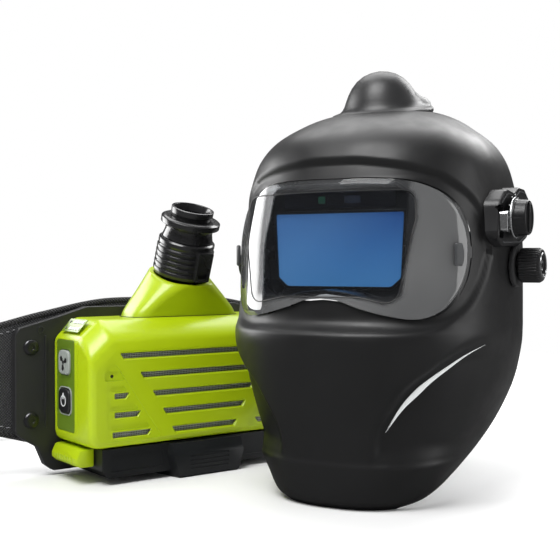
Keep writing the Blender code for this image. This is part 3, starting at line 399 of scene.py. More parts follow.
def object_noise(tree, scale, octaves):
    grain = node(tree, "ShaderNodeTexNoise", Scale=scale, Detail=octaves)
    tree.links.new(object_place(tree), grain.inputs["Vector"])
    return grain.outputs["Fac"]


def split_xyz(tree, vector):
    split = node(tree, "ShaderNodeSeparateXYZ")
    tree.links.new(vector, split.inputs["Vector"])
    return split.outputs


def maths(tree, operation, *values):
    """A Math node on sockets and numbers."""
    step = node(tree, "ShaderNodeMath", operation=operation)
    for socket, value in zip(step.inputs, values):
        if isinstance(value, (int, float)):
            socket.default_value = value
        else:
            tree.links.new(value, socket)
    return step.outputs[0]


def thread_wave(tree, along, pitch):
    """A sine with one crest per thread."""
    return maths(tree, "SINE", maths(tree, "MULTIPLY", along, 2 * math.pi / pitch))


def drifting(tree, colour, below, above, scale):
    """A colour that drifts slowly between a darker and a paler one."""
    drift = ranged(tree, object_noise(tree, scale, 4.0), 0, 1, 0.35, 0.65)
    return mixed(tree, drift, scaled_colour(colour, below), scaled_colour(colour, above))


def see_through(tree, shader, share, tint=(1, 1, 1)):
    """Lets a share of the light straight through."""
    clear = node(tree, "ShaderNodeBsdfTransparent")
    clear.inputs["Color"].default_value = (*tint, 1)
    mix = node(tree, "ShaderNodeMixShader")
    if isinstance(share, float):
        mix.inputs[0].default_value = share
    else:
        tree.links.new(share, mix.inputs[0])
    tree.links.new(shader.outputs[0], mix.inputs[1])
    tree.links.new(clear.outputs[0], mix.inputs[2])
    tree.links.new(mix.outputs[0], tree.nodes["Material Output"].inputs["Surface"])


def ranged(tree, value, low, high, from_low=0.0, from_high=1.0):
    scale = node(tree, "ShaderNodeMapRange")
    tree.links.new(value, scale.inputs["Value"])
    for key, number in (("From Min", from_low), ("From Max", from_high), ("To Min", low), ("To Max", high)):
        scale.inputs[key].default_value = number
    return scale.outputs["Result"]


def mixed(tree, factor, first, second):
    mix = node(tree, "ShaderNodeMix", data_type="RGBA")
    tree.links.new(factor, mix.inputs[0])
    for index, value in ((6, first), (7, second)):
        if isinstance(value, tuple):
            mix.inputs[index].default_value = (*value, 1)
        else:
            tree.links.new(value, mix.inputs[index])
    return mix.outputs[2]


def bumped(tree, shader, height, distance):
    bump = node(tree, "ShaderNodeBump", Distance=distance, Strength=1.0)
    tree.links.new(height, bump.inputs["Height"])
    tree.links.new(bump.outputs["Normal"], shader.inputs["Normal"])


def scaled_colour(colour, factor):
    return tuple(min(c * factor, 1.0) for c in colour)


def plastic(name, colour, roughness, grain=1400.0, depth=0.00004, wear=0.12, coat=0.0, spread=0.12,
            smear=0.055, **inputs):
    """Moulded plastic: fine spark-eroded grain, slow colour drift, uneven gloss and paler worn edges."""
    made, tree, shader = new_look(name, colour, roughness, Coat_Weight=coat, Coat_Roughness=0.12, **inputs)
    body = drifting(tree, colour, 1 - spread, 1 + spread, 14.0)
    edge = node(tree, "ShaderNodeNewGeometry").outputs["Pointiness"]
    worn = ranged(tree, edge, 0.0, wear, 0.52, 0.60)
    pale = tuple(c + 0.10 * (1 - c) for c in colour)
    tree.links.new(mixed(tree, worn, body, pale), shader.inputs["Base Color"])
    gloss = ranged(tree, object_noise(tree, 55.0, 5.0), roughness - smear, roughness + smear, 0.3, 0.7)
    tree.links.new(gloss, shader.inputs["Roughness"])
    bumped(tree, shader, object_noise(tree, grain, 2.0), depth)
    return made


def weave_height(tree, pitch):
    """Over-and-under threads from the 'cloth' attribute: metres along and across the cloth."""
    where = split_xyz(tree, node(tree, "ShaderNodeAttribute", attribute_name="cloth").outputs["Vector"])
    return maths(tree, "MULTIPLY", *(thread_wave(tree, where[axis], pitch) for axis in ("X", "Y")))


def cloth(name, colour, pitch, depth, roughness=0.85, sheen=0.25):
    """Woven cloth: threads whose crests are painted paler (a painted highlight), fuzz that catches grazing light,
    and faded patches.
    """
    made, tree, shader = new_look(name, colour, roughness, Sheen_Weight=sheen, Sheen_Roughness=0.45)
    threads = weave_height(tree, pitch)
    body = drifting(tree, colour, 0.8, 1.3, 22.0)
    # Thread crests painted up to twice as pale: a painted highlight on each thread.
    lit = mixed(tree, ranged(tree, threads, 0.0, 0.6, -0.2, 1.0), body, scaled_colour(colour, 2.0))
    tree.links.new(lit, shader.inputs["Base Color"])
    bumped(tree, shader, maths(tree, "MULTIPLY_ADD", object_noise(tree, 2600.0, 2.0), 0.8, threads), depth)
    return made


def metal(name, colour, roughness):
    """Turned or brushed metal with fine streaks."""
    made, tree, shader = new_look(name, colour, roughness, 1.0)
    stretch = node(tree, "ShaderNodeMapping", Scale=(1, 1, 30))
    grain = node(tree, "ShaderNodeTexNoise", Scale=900.0, Detail=4.0)
    tree.links.new(object_place(tree), stretch.inputs["Vector"])
    tree.links.new(stretch.outputs["Vector"], grain.inputs["Vector"])
    tree.links.new(ranged(tree, grain.outputs["Fac"], roughness - 0.08, roughness + 0.12, 0.3, 0.7),
                   shader.inputs["Roughness"])
    bumped(tree, shader, grain.outputs["Fac"], 0.00002)
    return made


def smoke_lens():
    """Smoke-grey polycarbonate: clear over the filter, dark inside the groove and greyer outside it."""
    made, tree, shader = new_look("lens_smoke", (0.020, 0.021, 0.023), 0.06, Coat_Weight=1.0,
                                  Coat_Roughness=0.03)
    field = node(tree, "ShaderNodeAttribute", attribute_name="field")
    see_through(tree, shader, ranged(tree, field.outputs["Fac"], 0.16, 0.80), (0.86, 0.88, 0.90))
    panel = node(tree, "ShaderNodeAttribute", attribute_name="panel")
    haze = ranged(tree, object_noise(tree, 9.0, 2.0), 0, 1, 0.35, 0.65)
    outer = mixed(tree, haze, (0.10, 0.101, 0.103), (0.16, 0.161, 0.163))
    body = mixed(tree, panel.outputs["Fac"], outer, (0.018, 0.019, 0.021))
    tree.links.new(body, shader.inputs["Base Color"])
    gloss = ranged(tree, object_noise(tree, 30.0, 5.0), 0.03, 0.10, 0.35, 0.7)
    tree.links.new(gloss, shader.inputs["Roughness"])
    return made


def clear_lens():
    """Clear inner cover with faint smears."""
    made, tree, shader = new_look("clear_cover", (0.9, 0.92, 0.93), 0.04)
    see_through(tree, shader, 0.8)
    gloss = ranged(tree, object_noise(tree, 40.0, 4.0), 0.03, 0.12, 0.35, 0.7)
    tree.links.new(gloss, shader.inputs["Roughness"])
    return made


def filter_blue():
    """Blue-coated filter: deeper at the top, paler below, with a soft slanting band of painted sheen and a faint
    painted glow from its emission.
    """
    # The emission makes the filter glow faintly although it is no lamp: painted light.
    made, tree, shader = new_look("filter_glass_blue", (0.1, 0.24, 0.55), 0.1, Emission_Strength=0.55)
    where = split_xyz(tree, object_place(tree))
    low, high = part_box("filter_glass")
    height = ranged(tree, where["Z"], 0.0, 1.0, low.z, high.z)
    body = mixed(tree, height, (0.085, 0.30, 0.66), (0.030, 0.110, 0.36))
    # A slanting pale band across the filter: a painted sheen.
    lean = 0.9
    slant = maths(tree, "MULTIPLY_ADD", where["X"], -lean, where["Z"])
    middle = (low.z + high.z) / 2 - lean * (low.x + high.x) / 2
    band = ranged(tree, slant, 0.0, 0.35, middle - 0.02, middle + 0.03)
    lit = mixed(tree, band, body, (0.16, 0.38, 0.72))
    tree.links.new(lit, shader.inputs["Base Color"])
    tree.links.new(lit, shader.inputs["Emission Color"])
    return made


def spark_mesh():
    """Fine woven steel mesh over the pleats, drawn as threads; the gaps between them are painted near black,
    painted shade in the holes.
    """
    made, tree, shader = new_look("mesh_steel", (0.5, 0.51, 0.52), 0.4, 0.6)
    turn = node(tree, "ShaderNodeMapping", Rotation=(0, 0, -math.atan2(ALONG.y, ALONG.x)))
    tree.links.new(object_place(tree), turn.inputs["Vector"])
    where = split_xyz(tree, turn.outputs["Vector"])
    top = maths(tree, "MAXIMUM", *(thread_wave(tree, where[axis], 0.0016) for axis in ("X", "Z")))
    # The gaps between threads get near-black colour: painted shade in the mesh's holes.
    threads = mixed(tree, ranged(tree, top, 0, 1, 0.1, 0.8), (0.05, 0.05, 0.05), (0.66, 0.67, 0.68))
    tree.links.new(threads, shader.inputs["Base Color"])
    bumped(tree, shader, top, 0.0002)
    return made


def circuit():
    """Green board with paler tracks."""
    made, tree, shader = new_look("circuit_board", (0.01, 0.10, 0.04), 0.4)
    tracks = node(tree, "ShaderNodeTexVoronoi", Scale=260.0, distance="MANHATTAN", feature="DISTANCE_TO_EDGE")
    tree.links.new(object_place(tree), tracks.inputs["Vector"])
    line = ranged(tree, tracks.outputs["Distance"], 1, 0, 0.02, 0.08)
    tree.links.new(mixed(tree, line, (0.01, 0.09, 0.035), (0.30, 0.28, 0.10)), shader.inputs["Base Color"])
    bumped(tree, shader, line, 0.0001)
    return made


def solar_cell():
    """Dark blue cell with thin pale contact lines."""
    made, tree, shader = new_look("solar_cell", (0.01, 0.02, 0.06), 0.2)
    bands = node(tree, "ShaderNodeTexWave", Scale=420.0, wave_type="BANDS", bands_direction="X")
    tree.links.new(object_place(tree), bands.inputs["Vector"])
    lines = ranged(tree, bands.outputs["Fac"], 0, 1, 0.86, 0.94)
    body = mixed(tree, lines, (0.008, 0.018, 0.055), (0.22, 0.24, 0.26))
    tree.links.new(body, shader.inputs["Base Color"])
    bumped(tree, shader, lines, 0.00005)
    return made


LOOKS = {
    "helmet_shell": plastic("helmet_shell", (0.0085, 0.0085, 0.0090), 0.42, grain=2200, depth=0.00002,
                            wear=0.05, Specular_IOR_Level=0.42),
    "air_dome": plastic("air_dome", (0.020, 0.020, 0.021), 0.42, wear=0.06),
    "lens_smoke": smoke_lens(),
    "cassette_black": plastic("cassette_black", (0.008, 0.008, 0.009), 0.30, wear=0.10),
    "filter_glass_blue": filter_blue(),
    "sensor_window": plastic("sensor_window", (0.006, 0.007, 0.012), 0.12, depth=0.000005, wear=0.0),
    "clear_cover": clear_lens(),
    "circuit_board": circuit(),
    "control_black": plastic("control_black", (0.008, 0.008, 0.009), 0.36, wear=0.06),
    "trim_silver": metal("trim_silver", (0.70, 0.71, 0.72), 0.22),
    "latch_grey": plastic("latch_grey", (0.045, 0.047, 0.050), 0.38, wear=0.2),
    "knob_black": plastic("knob_black", (0.011, 0.011, 0.012), 0.36, wear=0.18),
    "washer_rubber": plastic("washer_rubber", (0.020, 0.020, 0.021), 0.62, grain=900, depth=0.0001, wear=0.1),
    "face_seal_cloth": cloth("face_seal_cloth", (0.030, 0.031, 0.034), 0.0016, 0.0002),
    "headband_grey": plastic("headband_grey", (0.050, 0.052, 0.056), 0.42, wear=0.2),
    "sweatband_cloth": cloth("sweatband_cloth", (0.020, 0.020, 0.022), 0.0020, 0.0004, sheen=0.4),
    "bolt_steel": metal("bolt_steel", (0.55, 0.55, 0.55), 0.30),
    "duct_black": plastic("duct_black", (0.018, 0.018, 0.019), 0.45, wear=0.12),
    "hose_black": plastic("hose_black", (0.010, 0.010, 0.011), 0.42, grain=800, depth=0.00008, wear=0.15),
    "lime_plastic": plastic("lime_plastic", (0.42, 0.56, 0.004), 0.30, grain=1600, depth=0.000025, wear=0.06,
                            coat=0.10, spread=0.025, smear=0.02),
    "mesh_steel": spark_mesh(),
    "filter_paper": cloth("filter_paper", (0.62, 0.62, 0.58), 0.0012, 0.0001, 0.95, 0.1),
    "fan_black": plastic("fan_black", (0.03, 0.03, 0.032), 0.5),
    "panel_green": plastic("panel_green", (0.11, 0.19, 0.008), 0.42, wear=0.1),
    "key_grey": plastic("key_grey", (0.30, 0.33, 0.30), 0.55, grain=2400, depth=0.00006, wear=0.15),
    "key_black": plastic("key_black", (0.014, 0.014, 0.015), 0.45, wear=0.1),
    "indicator_dark": plastic("indicator_dark", (0.15, 0.24, 0.008), 0.22, depth=0.000008, wear=0.05),
    "coupling_black": plastic("coupling_black", (0.012, 0.012, 0.013), 0.24, wear=0.16, coat=0.35),
    "battery_black": plastic("battery_black", (0.010, 0.011, 0.012), 0.34, wear=0.10),
    "plate_black": plastic("plate_black", (0.016, 0.016, 0.017), 0.45, wear=0.15),
    "rivet_dark": metal("rivet_dark", (0.10, 0.10, 0.105), 0.32),
    "belt_cloth": cloth("belt_cloth", (0.017, 0.018, 0.020), 0.0026, 0.0009, sheen=0.2),
    "webbing_cloth": cloth("webbing_cloth", (0.010, 0.010, 0.011), 0.0030, 0.0012, sheen=0.12),
    "buckle_black": plastic("buckle_black", (0.014, 0.014, 0.015), 0.36, wear=0.16),
}
THREAD = plastic("thread", (0.26, 0.26, 0.27), 0.8, grain=3000, depth=0.0001, wear=0.0)
WHITE_MARK = plastic("white_mark", (0.72, 0.74, 0.74), 0.45, wear=0.0, spread=0.03)
# Near black for printed marks, screw heads and light dots, and also painted shade: the line of the lens groove and
# the shadow line round the funnel's foot.
DARK_MARK_AND_PAINTED_SHADE = plastic("dark_mark_and_painted_shade", (0.012, 0.012, 0.012), 0.45, wear=0.0)
# Near black for the lining inside the outlet: painted shade deep in the bore.
BORE_PAINTED_SHADE = plastic("bore_painted_shade", (0.003, 0.003, 0.003), 0.7, wear=0.0)
SOLAR = solar_cell()
GREEN_CELL = plastic("green_cell", (0.03, 0.16, 0.09), 0.2, depth=0.000008, wear=0.0)


# ---------------------------------------------------------------- helmet shell

section_at = curve_through(SHELL_SECTIONS)
cheek_edge = curve_through(CHEEK_EDGE)


def shell_point(z, angle, inset=0.0):
    """A point of the plain shell surface; angle 0 is the rear and 180 degrees the face."""
    half, front, rear, middle = section_at(z)
    power = 2 / SECTION_POWER
    across, along = math.sin(angle), math.cos(angle)
    reach = (rear - middle) if along > 0 else (front + middle)
    return Vector(((half - inset) * math.copysign(abs(across)**power, across),
                   middle + (reach - inset) * math.copysign(abs(along)**power, along), z))


def shell_front_y(x, z):
    """Where the plain shell's front lies behind an (x, z) place."""
    half, front, _, middle = section_at(z)
    share = min(abs(x) / half, 1.0)
    return middle - (front + middle) * (1 - share**SECTION_POWER)**(1 / SECTION_POWER)


def half_outline(top, bottom, reach, count=12, grow=0.0):
    """The right half of an opening as (x, z), from the middle of the top round to the bottom."""
    top_at, bottom_at = curve_through(top), curve_through(bottom)
    xs = [reach * math.sin(math.pi / 2 * i / count) for i in range(count + 1)]
    wider = 1 + grow / reach
    return ([(x * wider, top_at(x)[0] + grow) for x in xs]
            + [(x * wider, bottom_at(x)[0] - grow) for x in reversed(xs)])


def row_heights(step=0.0016):
    """Heights of the shell's rows, close together where the section changes fast."""
    heights = [SHELL_SECTIONS[0][0]]
    z = heights[0]
    while z < SHELL_SECTIONS[-1][0] - 1e-6:
        here = section_at(z)
        rise = step
        while rise > 0.0001:
            there = section_at(min(z + rise, SHELL_SECTIONS[-1][0]))
            if max(abs(there[k] - here[k]) for k in range(3)) < step * 1.3:
                break
            rise *= 0.75
        z = min(z + rise, SHELL_SECTIONS[-1][0])
        heights.append(z)
    return heights


def cheek_sink(x, y, z):
    """How deep the scoop of the cheek is at a point of the plain shell."""
    fade = (1 - smoothstep(-0.075, 0.0, y)) * smoothstep(0.033, 0.052, z) * (1 - smoothstep(0.112, 0.133, z))
    return CHEEK_DEPTH * smoothstep(0.0, CHEEK_ROUND, x - cheek_edge(z)[0]) * fade


def sunk(point, edge_tree, inside):
    """How far the finished surface lies below the plain one at a point."""
    x, y, z = abs(point.x), point.y, point.z
    depth = 0.0
    if y < 0 and inside(x, z):
        distance = edge_tree.find(Vector((x, y, z)))[2]
        depth += SURROUND_DEPTH * smoothstep(0.0, SURROUND_STEP, distance)
    if y < 0.02 and 0.03 < z < 0.134:
        depth += cheek_sink(x, y, z)
    if y < 0:
        lip = 1 - smoothstep(0.0335, 0.0375, z)
        depth -= 0.0016 * lip * smoothstep(0.0, 0.012, z + 0.004) * (1 - smoothstep(-0.05, 0.0, y))
    return depth


def make_shell():
    """The shell as a closed wall: sunk round the visor and in the cheeks, then cut open at the rear."""
    half = half_outline(SURROUND_TOP, SURROUND_BOTTOM, SURROUND_HALF, 400)
    edge_tree = KDTree(len(half))
    for i, (x, z) in enumerate(half):
        edge_tree.insert(Vector((x, shell_front_y(x, z), z)), i)
    edge_tree.balance()
    top_at, bottom_at = curve_through(SURROUND_TOP), curve_through(SURROUND_BOTTOM)

    def inside(x, z):
        return x < SURROUND_HALF and bottom_at(x)[0] < z < top_at(x)[0]

    sides = 288
    heights = row_heights()
    bm = bmesh.new()
    outer, inner = [], []
    for z in heights:
        crown = smoothstep(0.25, 0.31, z)
        outer_row, inner_row = [], []
        for i in range(sides):
            angle = 2 * math.pi * (i + 0.5) / sides
            point = shell_point(z, angle)
            toward = Vector((0, min(max(point.y, -0.05), 0.02) if z < 0.25 else 0.02, z)) - point
            toward.z = -0.4 * crown
            toward.normalize()
            depth = sunk(point, edge_tree, inside)
            outer_row.append(bm.verts.new(point + toward * depth))
            inside_point = shell_point(z, angle, SHELL_WALL * (1 - 0.6 * crown))
            inside_point.z -= SHELL_WALL * crown
            inner_row.append(bm.verts.new(inside_point + toward * max(depth, 0.0)))
        outer.append(outer_row)
        inner.append(inner_row)
    for rows in (outer, inner):
        for low, high in zip(rows, rows[1:]):
            for i in range(sides):
                j = (i + 1) % sides
                bm.faces.new((low[i], low[j], high[j], high[i]))
    for i in range(sides):
        j = (i + 1) % sides
        bm.faces.new((outer[0][j], outer[0][i], inner[0][i], inner[0][j]))
    for rows, top in ((outer, CROWN_TOP_Z), (inner, CROWN_TOP_Z - SHELL_WALL)):
        pole = bm.verts.new((0, CROWN_TOP_Y, top))
        for i in range(sides):
            bm.faces.new((rows[-1][i], rows[-1][(i + 1) % sides], pole))
    shell = raw("helmet_shell_surface", bm)
    cut(shell, slab(REAR_EDGE, -0.2, 0.2, "x"))
    cut(shell, slab(mirrored(half_outline(VISOR_TOP, VISOR_BOTTOM, VISOR_HALF, 24, 0.0006)), -0.2, -0.03))
    bore = solid_turned([(0.0052, -0.15), (0.0052, 0.15)], 32, centre=(0, 0, PIVOT.z), direction=(1, 0, 0))
    cut(shell, bore)
    stand_for("helmet_shell", shell, HELMET, 38)


def make_accent():
    """A plain tapered line on the left cheek, laid on the skin."""
    along = curve_through([(i, *row) for i, row in enumerate(ACCENT)])
    steps = 60
    rings = []
    for k in range(steps + 1):
        t = (len(ACCENT) - 1) * k / steps
        x, z, half = along(t)
        ahead = Vector(along(min(t + 0.05, len(ACCENT) - 1))[:2]) - Vector(along(max(t - 0.05, 0))[:2])
        ahead.normalize()
        ring = []
        for across, lift in ((-1, 0.0004), (0, 0.0007), (1, 0.0004), (1, -0.0020), (-1, -0.0020)):
            px = x - ahead.y * half * across
            pz = z + ahead.x * half * across
            y = shell_front_y(px, pz)
            inward = Vector((-px, min(max(y, -0.05), 0.02) - y, 0)).normalized()
            ring.append(Vector((px, y, pz)) + inward * (cheek_sink(px, y, pz) - lift))
        rings.append(ring)
    detail("cheek_accent", loft(rings), "shell", "trim_silver", HELMET, look=WHITE_MARK, smooth=60)


def make_dome():
    """The air outlet on the crown: a turned dome, its flange drawn out to the rear as a slotted lip."""
    outer = [(0.0, 0.0376), (0.007, 0.0367), (0.0135, 0.0345), (0.0195, 0.0305), (0.0242, 0.0253),
             (0.0276, 0.0197), (0.0299, 0.0147), (0.0316, 0.0107), (0.0335, 0.0077), (0.0360, 0.0057),
             (0.0396, 0.0047), (0.0418, 0.0040), (0.0427, 0.0028), (0.0427, 0.0012), (0.0420, 0.0)]
    inner = [(0.0280, 0.0), (0.0280, 0.006), (0.0262, 0.0125), (0.0230, 0.0195), (0.0160, 0.0275),
             (0.0, 0.0345)]

    def hood(angle, radius, height):
        """The rear of the flange is drawn out into a thick outlet lip."""
        rear = smoothstep(0.28, 0.70, math.cos(angle - math.pi / 2))
        reach = 0.0440 - 0.0060 * smoothstep(0.007, 0.015, height)
        low = 1 - smoothstep(0.0110, 0.0180, height)
        return radius + (max(reach, radius) - radius) * rear * low if radius > 0.0285 else radius

    dome = raw("air_dome_surface", turned(outer + inner, 96, ripple=hood))
    cut(dome, slab(rectangle(0.0180, 0.0018, 0.0014, (0, 0.0062)), 0.0385, 0.06))
    place = Matrix.Translation((0, -0.001, 0.3100)) @ Matrix.Rotation(math.radians(12), 4, "X")
    stand_for("air_dome", dome, HELMET @ place, 50)


# ---------------------------------------------------------------- visor and filter

def sides_of(outline):
    """The sides of a closed outline, as pairs of corners."""
    return zip(outline, outline[1:] + outline[:1])


def divided(outline, step):
    """A closed outline with its sides divided into short pieces."""
    out = []
    for (u0, v0), (u1, v1) in sides_of(outline):
        pieces = max(1, int(math.hypot(u1 - u0, v1 - v0) / step))
        out += [(u0 + (u1 - u0) * k / pieces, v0 + (v1 - v0) * k / pieces) for k in range(pieces)]
    return out


GROOVE = filleted([(-0.083, 0.2390, 0.010), (0.0640, 0.2395, 0.010), (0.0665, 0.2180, 0.02),
                   (0.0565, 0.1545, 0.010), (0.030, 0.1605, 0.02), (-0.030, 0.1605, 0.02),
                   (-0.066, 0.1540, 0.012), (-0.078, 0.205, 0.02)], 8)
GROOVE_DENSE = divided(GROOVE, 0.002)


def within(outline, u, v):
    """Whether a point lies inside a closed outline."""
    odd = False
    for (u0, v0), (u1, v1) in sides_of(outline):
        if (v0 > v) != (v1 > v) and u < u0 + (v - v0) * (u1 - u0) / (v1 - v0):
            odd = not odd
    return odd


def make_lens():
    """The cover lens in its opening, with the attributes that tell its looks apart."""
    top, bottom = curve_through(VISOR_TOP), curve_through(VISOR_BOTTOM)
    columns, rows = 72, 36
    reach = VISOR_HALF - GAP
    rings = []
    for c in range(-columns, columns + 1):
        x = reach * math.sin(math.pi / 2 * c / columns)
        low, high = bottom(abs(x))[0] + GAP, top(abs(x))[0] - GAP
        front, back = [], []
        for r in range(rows + 1):
            z = low + (high - low) * r / rows
            edge = min(r, rows - r) / rows * (high - low)
            soft = 0.0008 * (1 - smoothstep(0.0, 0.0016, edge))
            y = shell_front_y(x, z) + LENS_PROUD
            front.append(Vector((x, y + soft, z)))
            back.append(Vector((x, y + LENS_THICK, z)))
        rings.append(front + list(reversed(back)))
    lens = raw("cover_lens_surface", loft(rings))
    field = lens.data.attributes.new("field", "FLOAT", "POINT")
    for vert in lens.data.vertices:
        x, z = abs(vert.co.x), vert.co.z
        field.data[vert.index].value = (1 - smoothstep(0.058, 0.063, x)) * smoothstep(0.158, 0.164, z)
    panel = lens.data.attributes.new("panel", "FLOAT", "POINT")
    border = KDTree(len(GROOVE_DENSE))
    for i, (u, v) in enumerate(GROOVE_DENSE):
        border.insert((u, v, 0), i)
    border.balance()
    for vert in lens.data.vertices:
        away = border.find((vert.co.x, vert.co.z, 0))[2]
        inside = within(GROOVE, vert.co.x, vert.co.z)
        panel.data[vert.index].value = smoothstep(-0.0030, 0.0010, away if inside else -away)
    stand_for("cover_lens", lens, HELMET, 40)
    make_shroud(top, bottom)


def make_shroud(top, bottom):
    """Dark shroud behind the lens, round the filter tray."""
    rings = []
    for c in range(-36, 37):
        x = (VISOR_HALF + 0.001) * math.sin(math.pi / 2 * c / 36)
        low, high = bottom(abs(x))[0] - 0.002, top(abs(x))[0] + 0.002
        heights = [low + (high - low) * r / 16 for r in range(17)]
        back = [Vector((x, shell_front_y(x, z) + 0.0062, z)) for z in heights]
        rings.append(back + [p + Vector((0, 0.0012, 0)) for p in reversed(back)])
    shroud = raw("visor_shroud", loft(rings))
    cut(shroud, slab(mirrored([(0.0, 0.244), (0.049, 0.244), (0.060, 0.237), (0.0655, 0.222), (0.064, 0.197),
                               (0.060, 0.170), (0.052, 0.159), (0.0, 0.157)]), -0.2, -0.03))
    placed(shroud, "shell", "cassette_black", HELMET, smooth=40)


def on_lens(points, lift):
    """(x, z) pairs laid on the lens's front."""
    return [Vector((x, shell_front_y(x, z) + LENS_PROUD - lift, z)) for x, z in points]


def make_lens_groove():
    """A thin dark bar laid along the moulded groove round the clear field of the lens: painted shade in the
    groove.
    """
    bar = tube(on_lens(GROOVE_DENSE, 0.0001), 0.00045, 6, closed=True)
    detail("lens_groove", bar, "shell", "cassette_black", HELMET, look=DARK_MARK_AND_PAINTED_SHADE)


def make_cassette():
    """Bezel of the filter tray, with its header band and sensor windows."""
    refined("cassette_frame", 0.0008, 2)
    y0 = (HELMET.inverted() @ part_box("filter_glass")[0]).y
    half = [(0.0, 0.2262), (0.0548, 0.2262), (0.0560, 0.2250), (0.0538, 0.1745), (0.0525, 0.1725),
            (0.0452, 0.1660), (0.0430, 0.1655), (0.0, 0.1655)]
    hole = [(0.0, 0.2240), (0.0530, 0.2240), (0.0540, 0.2228), (0.0516, 0.1752), (0.0505, 0.1736),
            (0.0444, 0.1684), (0.0425, 0.1678), (0.0, 0.1678)]
    bezel = raw("filter_bezel", slab(mirrored(half), y0 - 0.0022, y0 - GAP))
    cut(bezel, slab(mirrored(hole), y0 - 0.01, y0 + 0.01))
    placed(rounded(bezel, 0.0005, 2), "shell", "cassette_black", HELMET)
    dark = LOOKS["sensor_window"]
    cells = ((-0.034, 0.0100, dark), (-0.014, 0.0060, GREEN_CELL), (0.012, 0.0135, SOLAR),
             (0.036, 0.0075, dark))
    for index, (x, width, look) in enumerate(cells):
        outline = rectangle(width / 2, 0.0028, 0.0010, (x, 0.2345))
        window = slab(outline, y0 - 0.0016, y0 - 0.0009, edge=0.0002)
        detail(f"sensor_cell_{index}", window, "shell", "sensor_window", HELMET, look=look)


def make_latches():
    for side in ("left", "right"):
        refined(f"lens_latch_{side}", 0.0009, 3)


# ---------------------------------------------------------------- pivots and temple controls

def make_pivots():
    """Knob, silver ring, hub and rubber washer on both sides of the flip axis."""
    low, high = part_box("pivot_knob_left")
    radius, length = (high.z - low.z) / 2, high.x - low.x
    start = low.x - PIVOT.x
    dish = 0.0022
    profile = softened([(0.0050, 0.0), (radius * 0.80, 0.0), (radius * 0.86, 0.0008), (radius * 0.98, 0.0018),
                        (radius * 0.98, length - 0.0028), (radius * 0.90, length - 0.0006),
                        (radius * 0.76, length), (radius * 0.60, length), (radius * 0.52, length - dish),
                        (0.0, length - dish), (0.0, 0.0140), (0.0050, 0.0140)], 0.0005, 3)

    def ribs(angle, r, height):
        wave = math.cos(36 * angle)
        on_grip = r > radius * 0.94 and 0.0015 < height < length - 0.0022
        return r * (1 + 0.022 * math.copysign(abs(wave)**0.6, wave)) if on_grip else r

    for side, sign in (("left", 1), ("right", -1)):
        centre, out = (sign * start, 0, PIVOT.z), (sign, 0, 0)
        knob = raw(f"pivot_knob_{side}_surface", turned(profile, 288, centre, out, ribs))
        stand_for(f"pivot_knob_{side}", knob, HELMET, 45)
        face = (centre[0] + sign * (length - 0.0001), 0, PIVOT.z)
        ring = turned(softened([(radius * 0.66, -0.0004), (radius * 0.74, -0.0004), (radius * 0.74, 0.0005),
                                (radius * 0.66, 0.0005)], 0.0002), 64, face, out)
        detail(f"pivot_ring_{side}", ring, f"pivot_knob_{side}", "trim_silver", HELMET)
        hub_face = (face[0] - sign * dish, 0, PIVOT.z)
        rim = softened([(radius * 0.30, 0.0), (radius * 0.30, 0.0012), (radius * 0.24, 0.0016)], 0.0002)
        hub = solid_turned(rim, 48, centre=hub_face, direction=out)
        detail(f"pivot_hub_{side}", hub, f"pivot_knob_{side}", "trim_silver", HELMET)
        dot = solid_turned([(radius * 0.13, 0.0), (radius * 0.13, 0.0004)], 32,
                           centre=(hub_face[0] + sign * 0.0016, 0, PIVOT.z), direction=out)
        detail(f"pivot_dot_{side}", dot, f"pivot_knob_{side}", "knob_black", HELMET, look=DARK_MARK_AND_PAINTED_SHADE)
        w_low, w_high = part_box(f"pivot_washer_{side}")
        w_radius, w_thick = (w_high.z - w_low.z) / 2, w_high.x - w_low.x
        w_start = (w_low.x if sign > 0 else w_high.x) - PIVOT.x
        edge = softened([(0.0051, 0.0), (w_radius, 0.0), (w_radius, w_thick * 0.6),
                         (w_radius * 0.94, w_thick), (0.0051, w_thick)], 0.0008, 4)
        washer = turned(edge, 96, (w_start, 0, PIVOT.z), out)
        stand_for(f"pivot_washer_{side}", raw(f"pivot_washer_{side}_surface", washer), HELMET)


CONTROL_OUTLINE = [(-0.055, 0.206, 0.007), (-0.051, 0.232, 0.010), (-0.036, 0.243, 0.010),
                   (-0.024, 0.2400, 0.008), (-0.014, 0.2450, 0.010), (0.004, 0.2445, 0.010),
                   (0.019, 0.236, 0.010), (0.0225, 0.218, 0.009), (0.012, 0.206, 0.010),
                   (-0.012, 0.199, 0.012), (-0.044, 0.198, 0.008)]
OUTWARD = (1, 0, 0)


def face_slope(y, x, face):
    """How far the control unit's face dips at its front end."""
    return 0.0050 * smoothstep(0.012, 0.050, -y) * smoothstep(face - 0.008, face - 0.002, x)


def make_controls():
    """The temple control unit's case and grey rim, then what is set in it."""
    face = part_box("control_housing")[1].x - PIVOT.x
    outline = filleted(CONTROL_OUTLINE, 6)
    body = raw("control_housing_surface", slab(outline, 0.080, face, "x", edge=0.0022))
    slider = middle_of("mode_slider", HELMET)
    for vert in body.data.vertices:
        vert.co.x -= face_slope(vert.co.y, vert.co.x, face)
    cut(body, plain_shell(-0.0002))
    cut(body, slab(rectangle(0.0043, 0.0126, 0.0020, slider.yz), face - 0.0085, face + 0.01, "x"))
    stand_for("control_housing", body, HELMET, 40, True)
    rim = raw("control_rim", slab(shrunk(outline, 0.0030), face - 0.0002, face + 0.0005, "x"))
    cut(rim, slab(shrunk(outline, 0.0037), face - 0.01, face + 0.01, "x"))
    cut(rim, slab(rectangle(0.0060, 0.0142, 0.002, slider.yz), face - 0.01, face + 0.01, "x"))
    for vert in rim.data.vertices:
        vert.co.x -= face_slope(vert.co.y, face, face)
    placed(rim, "shell", "trim_silver", HELMET, look=LOOKS["latch_grey"])
    make_shade_knob()
    make_sensitivity_dial()
    make_mode_slider()


def half_height(node):
    low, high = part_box(node)
    return (high.z - low.z) / 2


